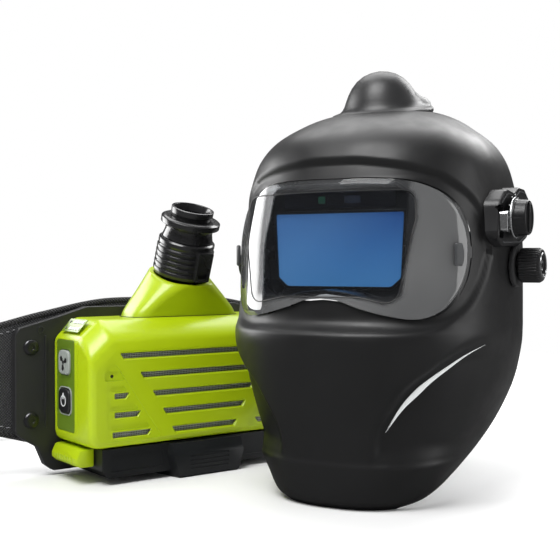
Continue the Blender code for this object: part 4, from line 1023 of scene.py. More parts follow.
def make_shade_knob():
    radius = half_height("shade_knob")
    profile = softened([(radius, 0.0), (radius, 0.0020), (radius * 0.97, 0.0030), (radius * 0.92, 0.0105),
                        (radius * 0.86, 0.0115), (radius * 0.78, 0.0108)], 0.0006, 3)

    def flutes(angle, r, height):
        return r * (1 - 0.03 * max(0.0, math.cos(12 * angle))**4) if 0.002 < height < 0.0102 else r

    body = solid_turned(profile, 180, centre=tuple(SHADE), direction=OUTWARD, ripple=flutes)
    knob = raw("shade_knob_surface", body)
    ridge = slab(rectangle(0.0024, radius * 0.80, 0.0018, (SHADE.y, SHADE.z)), SHADE.x + 0.0095,
                 SHADE.x + 0.0116, "x", edge=0.0006)
    cut(knob, ridge, "UNION")
    stand_for("shade_knob", knob, HELMET, 40)
    collar = turned(softened([(radius * 1.00, 0.0), (radius * 1.09, 0.0), (radius * 1.09, 0.0009),
                              (radius * 1.02, 0.0014)], 0.0002), 96, tuple(SHADE), OUTWARD)
    detail("shade_scale_ring", collar, "shell", "trim_silver", HELMET)
    mark = slab(rectangle(0.0005, radius * 0.25, 0.0004, (SHADE.y, SHADE.z + radius * 0.5)), SHADE.x + 0.0115,
                SHADE.x + 0.0119, "x")
    detail("shade_pointer", mark, "shade_knob", "trim_silver", HELMET)
    ticks = bmesh.new()
    for k in range(9):
        angle = math.radians(-120 + 30 * k)
        spot = Vector((0, math.sin(angle), math.cos(angle))) * (radius * 1.22) + SHADE
        on_plate = spot.z < 0.2385 and spot.y > -0.05
        if on_plate:
            solid_turned([(0.00045, -0.0002), (0.00045, 0.0004)], 10, centre=spot, direction=OUTWARD,
                         bm=ticks)
    detail("shade_ticks", ticks, "shell", "trim_silver", HELMET, look=WHITE_MARK)


def make_sensitivity_dial():
    radius = half_height("sensitivity_dial")
    profile = softened([(radius, 0.0), (radius, 0.0026), (radius * 0.92, 0.0034)], 0.0004)
    dial = raw("sensitivity_dial_surface", solid_turned(profile, 72, centre=DIAL, direction=OUTWARD))
    for rise in (-0.0038, 0.0038):
        cut(dial, solid_turned([(0.0026, 0.0012), (0.0026, 0.01)], 28, centre=DIAL + Vector((0, 0, rise)),
                               direction=OUTWARD))
    stand_for("sensitivity_dial", dial, HELMET, 40)
    ring = turned(softened([(radius * 1.03, 0.0), (radius * 1.20, 0.0), (radius * 1.18, 0.0013),
                            (radius * 1.05, 0.0013)], 0.0002), 72, DIAL, OUTWARD)
    detail("sensitivity_ring", ring, "shell", "trim_silver", HELMET)


def make_mode_slider():
    low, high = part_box("mode_slider")
    half_y, half_z = (high.y - low.y) / 2, (high.z - low.z) / 2
    spot = middle_of("mode_slider", HELMET)
    bar = raw("mode_slider_surface", slab(rectangle(half_y, half_z, 0.0030, spot.yz), spot.x - 0.0055,
                                          spot.x + 0.0010, "x", edge=0.0006))
    dip = rectangle(half_y * 0.45, half_z * 0.5, 0.0012, spot.yz)
    cut(bar, slab(dip, spot.x + 0.0003, spot.x + 0.01, "x"))
    stand_for("mode_slider", bar, HELMET, 40, True)


def shrunk(outline, by):
    """An outline moved inwards along its own normals."""
    out = []
    count = len(outline)
    for i in range(count):
        before, after = Vector(outline[i - 1]), Vector(outline[(i + 1) % count])
        along = (after - before).normalized()
        out.append((outline[i][0] - along.y * -by, outline[i][1] + along.x * -by))
    area = sum(u0 * v1 - u1 * v0 for (u1, v1), (u0, v0) in zip(outline, outline[-1:] + outline[:-1]))
    if area > 0:
        out = [(2 * outline[i][0] - u, 2 * outline[i][1] - v) for i, (u, v) in enumerate(out)]
    return out


def plain_shell(inset):
    """The closed body inside the plain shell surface, for cutting what sits on it."""
    sides = 88
    angles = [2 * math.pi * (i + 0.5) / sides for i in range(sides)]
    return loft([[shell_point(z, angle, inset) for angle in angles] for z in row_heights(0.006)])


# ---------------------------------------------------------------- blower case

def case_outline(inset=0.0, drop=0.0):
    """Front view of the case: wide sloping shoulders and round lower corners."""
    w, low, high = CASE_HALF - inset, CASE_Z0 + inset, CASE_Z1 - inset - drop
    shoulder = min(0.017, (high - low) * 0.3)
    right = [(w - shoulder - 0.002, high, 0.010), (w, high - shoulder, 0.010), (w, low, 0.010)]
    left = [(-u, v, r) for u, v, r in reversed(right)]
    return filleted(right + left, 6)


cover_shape = curve_through([(COVER_FRONT, 0.0060, 0.0200), (COVER_FRONT + 0.0012, 0.0026, 0.0165),
                             (COVER_FRONT + 0.0040, 0.0008, 0.0130), (COVER_FRONT + 0.0100, 0.0002, 0.0075),
                             (-0.0170, 0.0, 0.0016), (COVER_BACK, 0.0, 0.0)])


def cover_rings(inset, y_from, y_to, count):
    rings = []
    for k in range(count + 1):
        share = k / count
        y = y_from + (y_to - y_from) * share**1.5
        extra, drop = cover_shape(y)
        rings.append([(u, y, v) for u, v in case_outline(inset + extra, drop)])
    return rings


def slot_shape(near, far, low, high, slant_near, slant_far, grow, sign=1):
    """One slot with slanted ends as (x, z) corners, grown on every side."""
    corners = [(near + slant_near - grow, low - grow), (far - slant_far + grow, low - grow),
               (far + grow, high + grow), (near - grow, high + grow)]
    outline = filleted([(u, v, 0.0008 + grow * 0.5) for u, v in corners], 3)
    return [(sign * u, v) for u, v in outline]


def all_slots():
    """near, far, low, high, slant at both ends, side, for every slot."""
    slots = []
    height, slant = 0.0046, 0.004
    for z, half, outer in SLOT_ROWS:
        slots.append((-half, half, z - height / 2, z + height / 2, slant, slant, 1))
        if outer:
            for sign in (1, -1):
                slots.append((outer[0], outer[1], z - height / 2, z + height / 2, slant, 0.0, sign))
    return slots


def make_cover():
    """The lime filter cover with its slots, sunk side fields and two screws."""
    outer = cover_rings(0.0, COVER_FRONT, COVER_BACK, 16)
    inner = cover_rings(CASE_WALL, COVER_FRONT + CASE_WALL, COVER_BACK, 10)
    cover = raw("filter_cover_surface", loft(outer + list(reversed(inner))))
    tapers = bmesh.new()
    for near, far, low, high, near_slant, far_slant, sign in all_slots():
        rings = []
        for depth, grow in ((-0.003, 0.0019), (0.0, 0.0013), (0.0014, 0.0), (0.0080, 0.0)):
            shape = slot_shape(near, far, low, high, near_slant, far_slant, grow, sign)
            rings.append([(u, COVER_FRONT + depth, v) for u, v in shape])
        loft(rings, bm=tapers)
    cut(cover, tapers)
    for sign in (1, -1):
        field = filleted([(sign * 0.0440, 0.0365, 0.003), (sign * 0.0965, 0.0365, 0.004),
                          (sign * 0.0965, 0.1010, 0.004), (sign * 0.0880, 0.1010, 0.003)], 4)
        cut(cover, slab(field, COVER_FRONT - 0.01, COVER_FRONT + 0.0007))
        for low in (0.0462, 0.0622, 0.0785):
            inner_end = 0.0440 + (low - 0.0365) * 0.68 + 0.0050
            high = low + 0.0042
            band = filleted([(sign * inner_end, low, 0.001), (sign * 0.0935, low, 0.002),
                             (sign * 0.0935, high, 0.002), (sign * (inner_end + 0.003), high, 0.001)], 3)
            cut(cover, slab(band, COVER_FRONT - 0.01, COVER_FRONT + 0.0015))
    blind = bmesh.new()
    for sign in (1, -1):
        shape = filleted([(sign * 0.079, 0.0875, 0.002), (sign * 0.099, 0.0875, 0.002),
                          (sign * 0.099, 0.0960, 0.002), (sign * 0.0845, 0.0960, 0.002)], 3)
        slab(shape, COVER_FRONT - 0.01, COVER_FRONT + 0.0018, bm=blind)
    cut(cover, blind)
    stand_for("filter_cover", rounded(cover, 0.0003, 2, 40), BLOWER, 30, True)
    screws = bmesh.new()
    for sign in (1, -1):
        spot = (sign * 0.0915, COVER_FRONT + 0.0018, 0.0915)
        solid_turned([(0.0014, -0.0010), (0.0014, 0.0002)], 20, centre=spot, direction=(0, -1, 0), bm=screws)
    detail("cover_screws", screws, "filter_cover", "lime_plastic", BLOWER, look=DARK_MARK_AND_PAINTED_SHADE)


def make_housing():
    back = HOUSING_Y1
    rings = []
    for y, inset in ((HOUSING_Y0, 0.0), (HOUSING_Y0 + 0.01, 0.0), (back - 0.012, 0.0), (back - 0.003, 0.0),
                     (back - 0.0015, 0.0004), (back - 0.0004, 0.0014), (back, 0.0028)):
        rings.append([(u, y, v) for u, v in case_outline(inset)])
    inner = [[(u, y, v) for u, v in case_outline(CASE_WALL)] for y in (back - CASE_WALL, HOUSING_Y0)]
    housing = raw("blower_housing_surface", loft(list(reversed(rings)) + list(reversed(inner))))
    cut(housing, slab(rectangle(0.050, 0.05, 0.004, (0, 0.15)), -0.006, 0.024))
    cut(housing, slab(rectangle(0.0178, 0.0393, 0.0035, (0.0115, 0.081)), -0.12, -CASE_HALF + 0.0015, "x"))
    cut(housing, slab(rectangle(0.0136, 0.0296, 0.003, (0.0115, 0.0845)), -0.12, -0.10, "x"))
    stand_for("blower_housing", rounded(housing, 0.0003, 2, 50), BLOWER, 32, True)


def make_funnel():
    """The funnel from the top of the case to the round outlet, which leans with it."""
    stations = curve_through([(0.0, 0.0550, 0.0205, 0.0150, CASE_Z1 + 0.0003, 0.0090, 0.0),
                              (1.0, 0.0515, 0.0209, 0.0158, 0.1450, 0.0088, 0.1),
                              (2.0, 0.0395, 0.0232, 0.0190, 0.1600, 0.0075, 0.5),
                              (3.0, 0.0275, 0.0272, 0.0235, 0.1745, 0.0065, 1.0)])

    def skin(inset, last):
        rings = []
        for k in range(19):
            half_x, half_y, radius, z, y, lean = stations(last * k / 18)
            turn = Matrix.Rotation(OUTLET_TILT * lean, 3, "X")
            ring = [turn @ Vector((u, v, 0)) + Vector((0, y, z))
                    for u, v in rectangle(half_x - inset, half_y - inset, radius, steps=9)]
            rings.append(ring)
        return rings

    body = loft(list(reversed(skin(0.0, 3.0))) + skin(0.0030, 3.0), caps=False)
    stand_for("outlet_funnel", raw("outlet_funnel_surface", body), BLOWER, 50)
    # A thin near-black ring where the funnel stands on the case: painted shadow under the funnel's foot.
    seam = rectangle(0.0560, 0.0212, 0.0152, (0, 0.0090), 9)
    seam_shadow = slab(seam, CASE_Z1 - 0.0004, CASE_Z1 + 0.0005, "z")
    detail("funnel_seam_shadow", seam_shadow, "blower", "lime_plastic", BLOWER, look=DARK_MARK_AND_PAINTED_SHADE)


def make_outlet():
    profile = [(0.0146, -0.0060), (0.0172, -0.0060), (0.0174, 0.0032), (0.0252, 0.0032), (0.0256, 0.0048)]
    for ridge in range(5):
        start = 0.0060 + ridge * 0.0050
        profile += [(0.0262, start), (0.0262, start + 0.0026), (0.0249, start + 0.0031),
                    (0.0249, start + 0.0042)]
    profile += [(0.0256, 0.0318), (0.0256, 0.0350), (0.0238, 0.0366), (0.0175, 0.0366), (0.0175, 0.0585),
                (0.0190, 0.0597), (0.0192, 0.0650), (0.0168, 0.0652), (0.0146, 0.0590)]
    socket = raw("outlet_socket_surface", turned(softened(profile, 0.0005, 3), 120))
    panel = slab(rectangle(0.0075, 0.0135, 0.0012, (0.004, 0.0185)), -0.030, -0.0243)
    cut(socket, panel, "UNION")
    cut(socket, slab(rectangle(0.0046, 0.0022, 0.0005, (0.004, 0.0105)), -0.04, -0.0268))
    stand_for("outlet_socket", socket, OUTLET, 40)
    ring = softened([(0.0178, 0.0370), (0.0234, 0.0370), (0.0224, 0.0400), (0.0215, 0.0440),
                     (0.0214, 0.0468), (0.0232, 0.0490), (0.0266, 0.0499), (0.0268, 0.0548),
                     (0.0242, 0.0562), (0.0178, 0.0562)], 0.0007, 3)

    def grips(angle, radius, height):
        return radius * (1 + 0.012 * max(0.0, math.cos(3 * angle))**8) if radius > 0.0255 else radius

    stand_for("coupling_ring", raw("coupling_ring_surface", turned(ring, 120, ripple=grips)), OUTLET, 45)
    # A near-black lining inside the outlet's bore: painted shade.
    bore = turned([(0.0144, 0.002), (0.01455, 0.002), (0.01455, 0.0560), (0.0144, 0.0560)], 64)
    detail("outlet_bore", bore, "blower", "coupling_black", OUTLET, look=BORE_PAINTED_SHADE)


# ---------------------------------------------------------------- keys, lights and small marks

def fan_mark(centre, size, bm):
    """Three plain blades round a hub, in the plane of the key (y, z)."""
    for k in range(3):
        base = 2 * math.pi * k / 3 + 0.5
        blade = [(0.15, 0.0), (0.75, -0.22), (1.0, 0.10), (0.85, 0.42), (0.35, 0.30)]
        outline = [(centre[1] + size * (u * math.cos(base) - v * math.sin(base)),
                    centre[2] + size * (u * math.sin(base) + v * math.cos(base))) for u, v in blade]
        slab(outline, centre[0] - 0.0002, centre[0] + 0.0003, "x", bm=bm)
    hub = [(size * 0.2, -0.0002), (size * 0.2, 0.0003)]
    solid_turned(hub, 20, centre=centre, direction=(-1, 0, 0), bm=bm)


def make_keypad():
    refined("keypad_panel", 0.0003, 2)
    for key in ("fan_key", "power_key"):
        refined(key, 0.0010, 4)
    face_x = -CASE_HALF + 0.0006 - 0.0026
    low, high = middle_of("fan_key", BLOWER), middle_of("power_key", BLOWER)
    mark = bmesh.new()
    fan_mark((face_x, low.y, low.z), 0.0072, mark)
    detail("fan_mark", mark, "fan_key", "key_grey", BLOWER, look=DARK_MARK_AND_PAINTED_SHADE)
    ring = turned([(0.0040, 0.0), (0.0049, 0.0), (0.0049, 0.0003), (0.0040, 0.0003)], 48,
                  (face_x, high.y, high.z), (-1, 0, 0))
    stroke = [(high.y + dy, high.z + dz) for dy, dz in ((-0.0007, 0.0015), (0.0007, 0.0015),
                                                        (0.0007, 0.0068), (-0.0007, 0.0068))]
    slab(stroke, face_x - 0.0004, face_x + 0.0001, "x", bm=ring)
    detail("power_mark", ring, "power_key", "key_black", BLOWER, look=WHITE_MARK)
    for name, spot, look in (("fan_key_rim", low, None), ("power_key_rim", high, LOOKS["key_grey"])):
        outline = rectangle(0.0122, 0.0122, 0.0066, spot.yz, 6)
        rim = raw(name, slab(outline, -CASE_HALF - 0.0004, -CASE_HALF + 0.0006, "x"))
        cut(rim, slab(rectangle(0.0112, 0.0112, 0.0060, spot.yz, 6), -0.13, -0.10, "x"))
        placed(rim, "blower", "panel_green", BLOWER, look=look)


def make_lights():
    """Two rows of light bars with plain dots, on the sloping corner of the case."""
    refined("indicator_window", 0.0002, 2)
    slope = Matrix.Rotation(-math.radians(47.6), 4, "Y")
    place = BLOWER @ Matrix.Translation(middle_of("indicator_window", BLOWER)) @ slope
    bars, dots = bmesh.new(), bmesh.new()
    for u in (-0.0035, 0.0035):
        for v in (-0.0120, -0.0070, -0.0020, 0.0030):
            slab(rectangle(0.0014, 0.0018, 0.0003, (u, v), 2), 0.0003, 0.0008, "z", bm=bars)
        solid_turned([(0.0013, 0.0003), (0.0013, 0.0007)], 20, centre=(u, 0.0115, 0), bm=dots)
    detail("charge_bars", bars, "blower", "indicator_dark", place, look=WHITE_MARK)
    detail("light_dots", dots, "blower", "indicator_dark", place, look=DARK_MARK_AND_PAINTED_SHADE)


# ---------------------------------------------------------------- battery and back plate

def make_battery():
    body = filleted([(-0.1000, 0.0305, 0.001), (-0.1000, 0.012, 0.004), (-0.094, 0.006, 0.004),
                     (0.094, 0.006, 0.004), (0.1000, 0.012, 0.004), (0.1000, 0.0305, 0.001)], 5)
    pack = raw("battery_case_surface", slab(body, -0.0335, 0.0320, edge=0.0012))
    block = loft([[(-a, -0.0430 + c, z), (a, -0.0430 + c, z), (b, 0.0290, z), (-b, 0.0290, z)]
                  for a, b, c, z in ((0.0300, 0.044, 0.0016, 0.0), (0.0310, 0.045, 0.0, 0.0016),
                                     (0.036, 0.052, 0.0, 0.0185), (0.036, 0.052, 0.0020, 0.0225),
                                     (0.036, 0.052, 0.0050, 0.0295))])
    cut(pack, block, "UNION")
    for x0, x1 in ((-0.092, -0.042), (0.042, 0.092)):
        panel = slab(filleted([(x0, 0.0110, 0.0015), (x1, 0.0110, 0.0015), (x1, 0.0250, 0.0015),
                               (x0, 0.0250, 0.0015)], 3), -0.05, -0.0328)
        cut(pack, panel)
    grooves = bmesh.new()
    for k in range(4):
        slab(rectangle(0.020, 0.0006, 0.0005, (0, 0.0075 + 0.0035 * k), 2), -0.06, -0.0425, bm=grooves)
    cut(pack, grooves)
    stand_for("battery_case", rounded(pack, 0.0006, 3, 30), BLOWER, 32, True)

    lever = filleted([(-0.1008, 0.0150, 0.0012), (-0.1008, 0.0300, 0.0008), (-0.1130, 0.0300, 0.0030),
                      (-0.1168, 0.0225, 0.0020), (-0.1168, 0.0185, 0.0018), (-0.1130, 0.0150, 0.0012)], 5)
    latch = raw("battery_latch_surface", slab(lever, -0.0200, 0.0300, edge=0.0012))
    ribs = bmesh.new()
    for k in range(7):
        slab(rectangle(0.0008, 0.010, 0.0004, (-0.010 + 0.005 * k, 0.0225), 2), -0.13, -0.1162, "x", bm=ribs)
    cut(latch, ribs)
    stand_for("battery_latch", latch, BLOWER)


def make_back_plate():
    refined("back_plate", 0.0010, 3)
    head = softened([(0.0068, -0.0013), (0.0068, -0.0004), (0.0060, 0.0006), (0.0042, 0.0013),
                     (0.0022, 0.0014), (0.0018, 0.0006)], 0.0004, 3)
    for side, sign in (("left", -1), ("right", 1)):
        eye = turned(softened([(0.0020, 0.0), (0.0034, 0.0), (0.0034, 0.0006), (0.0020, 0.0006)], 0.0002), 28,
                     (sign * 0.124, 0.0353, 0.128), (0, -1, 0))
        detail(f"plate_eye_{side}", eye, "blower", "plate_black", BLOWER)
        rib = slab(rectangle(0.0008, 0.040, 0.0007, (sign * 0.1195, 0.083), 3), 0.0343, 0.0355, edge=0.0003)
        detail(f"plate_rib_{side}", rib, "blower", "plate_black", BLOWER)
        for level in ("upper", "lower"):
            name = f"belt_rivet_{side}_{level}"
            rivet = solid_turned(head, 48, centre=middle_of(name, BLOWER), direction=(0, -1, 0))
            stand_for(name, raw(name + "_surface", rivet), BLOWER)


# ---------------------------------------------------------------- soft goods

def belt_line():
    """Plan points of the belt from its left far end, round behind the blower, to its right far end."""
    bend = BELT_REACH - BELT_CORNER
    half = [(bend * i / 30, BELT_Y) for i in range(31)]
    for i in range(1, 61):
        turn = math.pi * i / 60
        half.append((bend + BELT_CORNER * math.sin(turn), BELT_Y + BELT_DEPTH / 2 * (1 - math.cos(turn))))
    half += [(bend + (PAD_END - bend) * i / 16, BELT_Y + BELT_DEPTH) for i in range(1, 17)]
    return [(-x, y) for x, y in reversed(half[1:])] + half


# lower and upper edge of the pad behind the blower, by distance from the middle
belt_rise = curve_through([(0.0, 0.012, 0.152), (0.06, 0.013, 0.1515), (0.12, 0.028, 0.141),
                           (0.18, 0.043, 0.1290), (0.3, 0.044, 0.127)])


def belt_edges(x, y):
    """Lower and upper edge of the pad at a plan place."""
    if y < BELT_Y + 1e-6:
        return belt_rise(abs(x))
    share = (y - BELT_Y) / BELT_DEPTH
    return 0.044 - 0.039 * share, 0.127 - 0.065 * share


class Line:
    """A plan line with the distance walked along it, for finding places on a strip of cloth."""

    def __init__(self, points):
        self.points = [Vector(p) for p in points]
        self.walked = [0.0]
        self.tree = KDTree(len(points))
        for i, point in enumerate(self.points):
            if i:
                self.walked.append(self.walked[-1] + (point - self.points[i - 1]).length)
            self.tree.insert(point.to_3d(), i)
        self.tree.balance()

    def ahead(self, i):
        return (self.points[min(i + 1, len(self.points) - 1)] - self.points[max(i - 1, 0)]).normalized()

    def find(self, co):
        """Index of the nearest point, and the distance along the line."""
        i = self.tree.find((co.x, co.y, 0))[1]
        return i, self.walked[i] + (Vector((co.x, co.y)) - self.points[i]).dot(self.ahead(i))

    def map_cloth(self, obj):
        """Stores metres along and across the cloth, for the weave."""
        layer = obj.data.attributes.new("cloth", "FLOAT_VECTOR", "POINT")
        for vert in obj.data.vertices:
            layer.data[vert.index].vector = (self.find(vert.co)[1], vert.co.z, 0)


def padded_strip(line, edges, thick, pinch, rows=12):
    """A closed strip along a plan line, thinner towards its lower and upper edges."""
    rings = []
    for i, point in enumerate(line.points):
        ahead = line.ahead(i)
        out = Vector((ahead.y, -ahead.x))
        low, high = edges(point.x, point.y)
        ring = []
        for side in (1, -1):
            for k in range(rows + 1):
                v = side * (2 * k / rows - 1)
                half = thick / 2 * (1 - pinch * abs(v)**8)
                spot = point + out * half * side
                ring.append((spot.x, spot.y, (low + high) / 2 + (high - low) / 2 * v))
        rings.append(ring)
    return loft(rings)


def puffed(obj, sewn, settle, voxel=0.0042, limit=0.0022):
    """Fills padding with air: remeshed, blown up as cloth with its seams held, limited and smoothed."""
    step = obj.modifiers.new("remesh", "REMESH")
    step.mode, step.voxel_size = "VOXEL", voxel
    bake(obj)
    rest = [vert.co.copy() for vert in obj.data.vertices]
    seams = obj.vertex_groups.new(name="seams")
    seams.add([i for i, co in enumerate(rest) if sewn(co)], 1.0, "REPLACE")
    blown = obj.modifiers.new("air", "CLOTH")
    blown.settings.quality = 4
    blown.settings.use_pressure = True
    blown.settings.uniform_pressure_force = 4.0
    blown.settings.effector_weights.gravity = 0.0
    blown.settings.vertex_group_mass = "seams"
    blown.point_cache.frame_start, blown.point_cache.frame_end = 1, 20
    for number in range(1, 21):
        bpy.context.scene.frame_set(number)
    bake(obj)
    bpy.context.scene.frame_set(1)
    for vert, start in zip(obj.data.vertices, rest):
        move = vert.co - start
        if move.length > limit:
            vert.co = start + move * (limit / move.length)
        vert.co = settle(vert.co)
    step = obj.modifiers.new("smooth", "SUBSURF")
    step.levels = step.render_levels = 1
    return bake(obj)


def stitch_row(spots, length, bm):
    """Short thread stitches at (place, direction) pairs."""
    for spot, ahead in spots:
        tube([spot - ahead * length / 2, spot + ahead * length / 2], 0.00035, 5, bm)


def make_belt():
    """The padded belt with its bound edge and two rows of stitches on each side."""
    line = Line(belt_line())
    pad = raw("belt_pad_surface", padded_strip(line, belt_edges, BELT_THICK, 0.36))
    front, far = BELT_Y - BELT_THICK / 2, BELT_Y + BELT_DEPTH + BELT_THICK / 2

    def sewn(co):
        i = line.find(co)[0]
        low, high = belt_edges(*line.points[i])
        return co.z < low + 0.010 or co.z > high - 0.010 or min(i, len(line.points) - 1 - i) < 2

    def settle(co):
        """The pad stays flat where it rests on the plate, and under the webbing at its far ends."""
        if abs(co.x) < 0.152 and co.y < BELT_Y:
            co.y = max(co.y, front)
        if abs(co.x) < 0.172 and co.y > BELT_Y + BELT_DEPTH:
            co.y = min(co.y, far)
        return co

    puffed(pad, sewn, settle)
    line.map_cloth(pad)
    stand_for("belt_pad", pad, BLOWER, 60)
    rim = []
    count = len(line.points)
    for i in list(range(count)) + [-1 - k for k in range(count)]:
        index = i if i >= 0 else count + i
        point = line.points[index]
        low, high = belt_edges(*point)
        rim.append((point.x, point.y, high - 0.0012 if i >= 0 else low + 0.0012))
    tape = raw("belt_binding", tube(rim, 0.0031, 10, closed=True))
    line.map_cloth(tape)
    placed(tape, "blower", "webbing_cloth", BLOWER, smooth=60)
    threads = bmesh.new()
    inset, spacing = 0.0075, 0.0045
    for top in (True, False):
        for side in (1, -1):
            spots = []
            last = 0.0
            for i, point in enumerate(line.points):
                if line.walked[i] - last < spacing or not 2 < i < count - 3:
                    continue
                last = line.walked[i]
                ahead = line.ahead(i)
                out = Vector((ahead.y, -ahead.x)) * (BELT_THICK / 2 - 0.0001) * side
                low, high = belt_edges(*point)
                z = high - inset if top else low + inset
                spots.append((Vector((point.x + out.x, point.y + out.y, z)), ahead.to_3d()))
            stitch_row(spots, 0.0030, threads)
    detail("belt_stitches", threads, "blower", "webbing_cloth", BLOWER, look=THREAD, smooth=60)


def make_webbing():
    """Flat webbing sewn over the pad's ends with a boxed cross."""
    far = BELT_Y + BELT_DEPTH
    outer = far + BELT_THICK / 2 + GAP
    path = curve_through([(0, 0.034, far), (1, 0.040, far), (2, 0.048, far + (outer - far) / 2),
                          (3, 0.056, outer), (4, 0.098, outer), (5, 0.140, outer)])
    y = outer + WEB_THICK + 0.00005
    near, end, low, high = 0.106, 0.136, 0.013, 0.053
    rows = [((near, low), (end, low)), ((end, low), (end, high)), ((end, high), (near, high)),
            ((near, high), (near, low)), ((near, low), (end, high)), ((end, low), (near, high))]
    for side, sign in (("left", -1), ("right", 1)):
        points = [path(5 * k / 60) for k in range(61)]
        line = Line([(sign * x, y) for x, y in points])
        rings = []
        for x, depth in points:
            section = filleted([(depth, WEB_LOW, 0.0007), (depth + WEB_THICK, WEB_LOW, 0.0007),
                                (depth + WEB_THICK, WEB_HIGH, 0.0007), (depth, WEB_HIGH, 0.0007)], 3)
            rings.append([(sign * x, u, v) for u, v in section])
        web = raw(f"webbing_{side}_surface", loft(rings))
        line.map_cloth(web)
        stand_for(f"webbing_{side}", web, BLOWER, 60)
        threads = bmesh.new()
        for (x0, z0), (x1, z1) in rows:
            start, stop = Vector((sign * x0, y, z0)), Vector((sign * x1, y, z1))
            pieces = int((stop - start).length / 0.0035)
            ahead = (stop - start).normalized()
            spots = [(start.lerp(stop, (k + 0.5) / pieces), ahead) for k in range(pieces)]
            stitch_row(spots, 0.0024, threads)
        detail(f"webbing_stitches_{side}", threads, "blower", "webbing_cloth", BLOWER, look=THREAD, smooth=60)


def make_face_seal():
    """A gathered cloth wall inside the lower shell with an elastic hem."""
    walls = curve_through([(0.016, 0.0055), (0.040, 0.0070), (0.066, 0.0110), (0.090, 0.0200)])
    steps, reach, rise, rows = 90, math.radians(112), 0.048, 14
    rings, hem, lower = [], [], []
    for k in range(-steps, steps + 1):
        share = k / steps
        outer, inner = [], []
        for r in range(rows + 1):
            z = 0.016 + 0.074 * r / rows
            gather = 0.0011 * math.sin(46 * share * math.pi / 2 + 0.6 * math.sin(9 * share)) * (r / rows)**1.3
            for wall, extra in ((outer, 0.0), (inner, 0.0016)):
                wall.append(shell_point(z + rise * share**2, math.pi + reach * share,
                                        walls(z)[0] + 0.0012 + gather + extra))
        rings.append(outer + list(reversed(inner)))
        hem.append((outer[-1] + inner[-1]) / 2 - Vector((0, 0, 0.0020)))
        lower.append((outer[0] + inner[0]) / 2 + Vector((0, 0, 0.0016)))
    seal = raw("face_seal_surface", loft(rings))
    line = Line([(p.x, p.y) for p in lower])
    line.map_cloth(seal)
    stand_for("face_seal", seal, HELMET, 60)
    for name, points, radius in (("face_seal_hem", hem, 0.0022), ("face_seal_binding", lower, 0.0017)):
        edge = raw(name, tube(points, radius, 8))
        line.map_cloth(edge)
        placed(edge, "shell", "face_seal_cloth", HELMET, smooth=60)


# ---------------------------------------------------------------- headgear

BAND_CENTRE_Y, BAND_HALF_X, BAND_HALF_Y = 0.028, 0.074, 0.090
BAND_FRONT_Z, BAND_REAR_Z, BAND_THICK = 0.206, 0.166, 0.0024


def band_point(angle, inset=0.0):
    """Plan place and middle height of the head band; angle 0 is the forehead."""
    share = (1 - math.cos(angle)) / 2
    return Vector(((BAND_HALF_X - inset) * math.sin(angle),
                   BAND_CENTRE_Y - (BAND_HALF_Y - inset) * math.cos(angle),
                   BAND_FRONT_Z + (BAND_REAR_Z - BAND_FRONT_Z) * share))


def make_headband():
    rings = []
    for i in range(151):
        angle = math.radians(-146 + 292 * i / 150)
        half = 0.013 - 0.003 * (max(abs(i - 75) - 65, 0) / 10)**2
        section = filleted([(-BAND_THICK / 2, -half, 0.0008), (BAND_THICK / 2, -half, 0.0008),
                            (BAND_THICK / 2, half, 0.0008), (-BAND_THICK / 2, half, 0.0008)], 2)
        rings.append([band_point(angle, u) + Vector((0, 0, v)) for u, v in section])
    band = raw("headband_surface", loft(rings))
    holes = bmesh.new()
    for turn in (-128, -118, -108, -98, -88, 88, 98, 108, 118, 128):
        angle = math.radians(turn)
        spot = band_point(angle)
        out = Vector((math.sin(angle), -math.cos(angle), 0)).normalized()
        solid_turned([(0.0021, -0.006), (0.0021, 0.006)], 16, centre=spot, direction=out, bm=holes)
    cut(band, holes)
    stand_for("headband", band, HELMET, 45)


def make_sweatband():
    """Perforated padding on the forehead of the band."""
    thick = 0.0050
    inset = BAND_THICK / 2 + GAP + thick / 2
    places = [band_point(math.radians(-62 + 124 * i / 60), inset) for i in range(61)]
    line = Line([(p.x, p.y) for p in places])

    def edges(x, y):
        middle = places[line.tree.find((x, y, 0))[1]].z
        return middle - 0.015, middle + 0.015

    pad = raw("sweatband_surface", padded_strip(line, edges, thick, 0.3, 8))

    def sewn(co):
        low, high = edges(co.x, co.y)
        return co.z < low + 0.005 or co.z > high - 0.005

    def settle(co):
        """The pad keeps off the band it is fixed to."""
        share = Vector((co.x / (BAND_HALF_X - 0.0014),
                        (co.y - BAND_CENTRE_Y) / (BAND_HALF_Y - 0.0014))).length
        if share > 0.9985:
            pull = 0.9985 / share
            co.x *= pull
            co.y = BAND_CENTRE_Y + (co.y - BAND_CENTRE_Y) * pull
        return co

    puffed(pad, sewn, settle, 0.0040, 0.0018)
    line.map_cloth(pad)
    stand_for("sweatband", pad, HELMET, 60)


def make_crown_strap():
    rings = []
    for i in range(73):
        angle = math.pi * i / 72
        ring = []
        section = filleted([(0.0, -0.010, 0.0006), (0.0, 0.010, 0.0006), (0.0018, 0.010, 0.0006),
                            (0.0018, -0.010, 0.0006)], 2)
        for dr, dy in section:
            ring.append((-(0.0680 - dr) * math.cos(angle), 0.012 + dy,
                         0.196 + (0.052 - dr) * math.sin(angle)))
        rings.append(ring)
    strap = raw("crown_strap_surface", loft(rings))
    holes = bmesh.new()
    for sign in (1, -1):
        for k in range(4):
            angle = math.radians(28 + 9 * k)
            spot = (sign * 0.067 * math.cos(angle), 0.012, 0.196 + 0.051 * math.sin(angle))
            solid_turned([(0.0018, -0.006), (0.0018, 0.006)], 14, centre=spot,
                         direction=(sign * math.cos(angle) / 0.068, 0, math.sin(angle) / 0.052), bm=holes)
    cut(strap, holes)
    stand_for("crown_strap", strap, HELMET, 45)


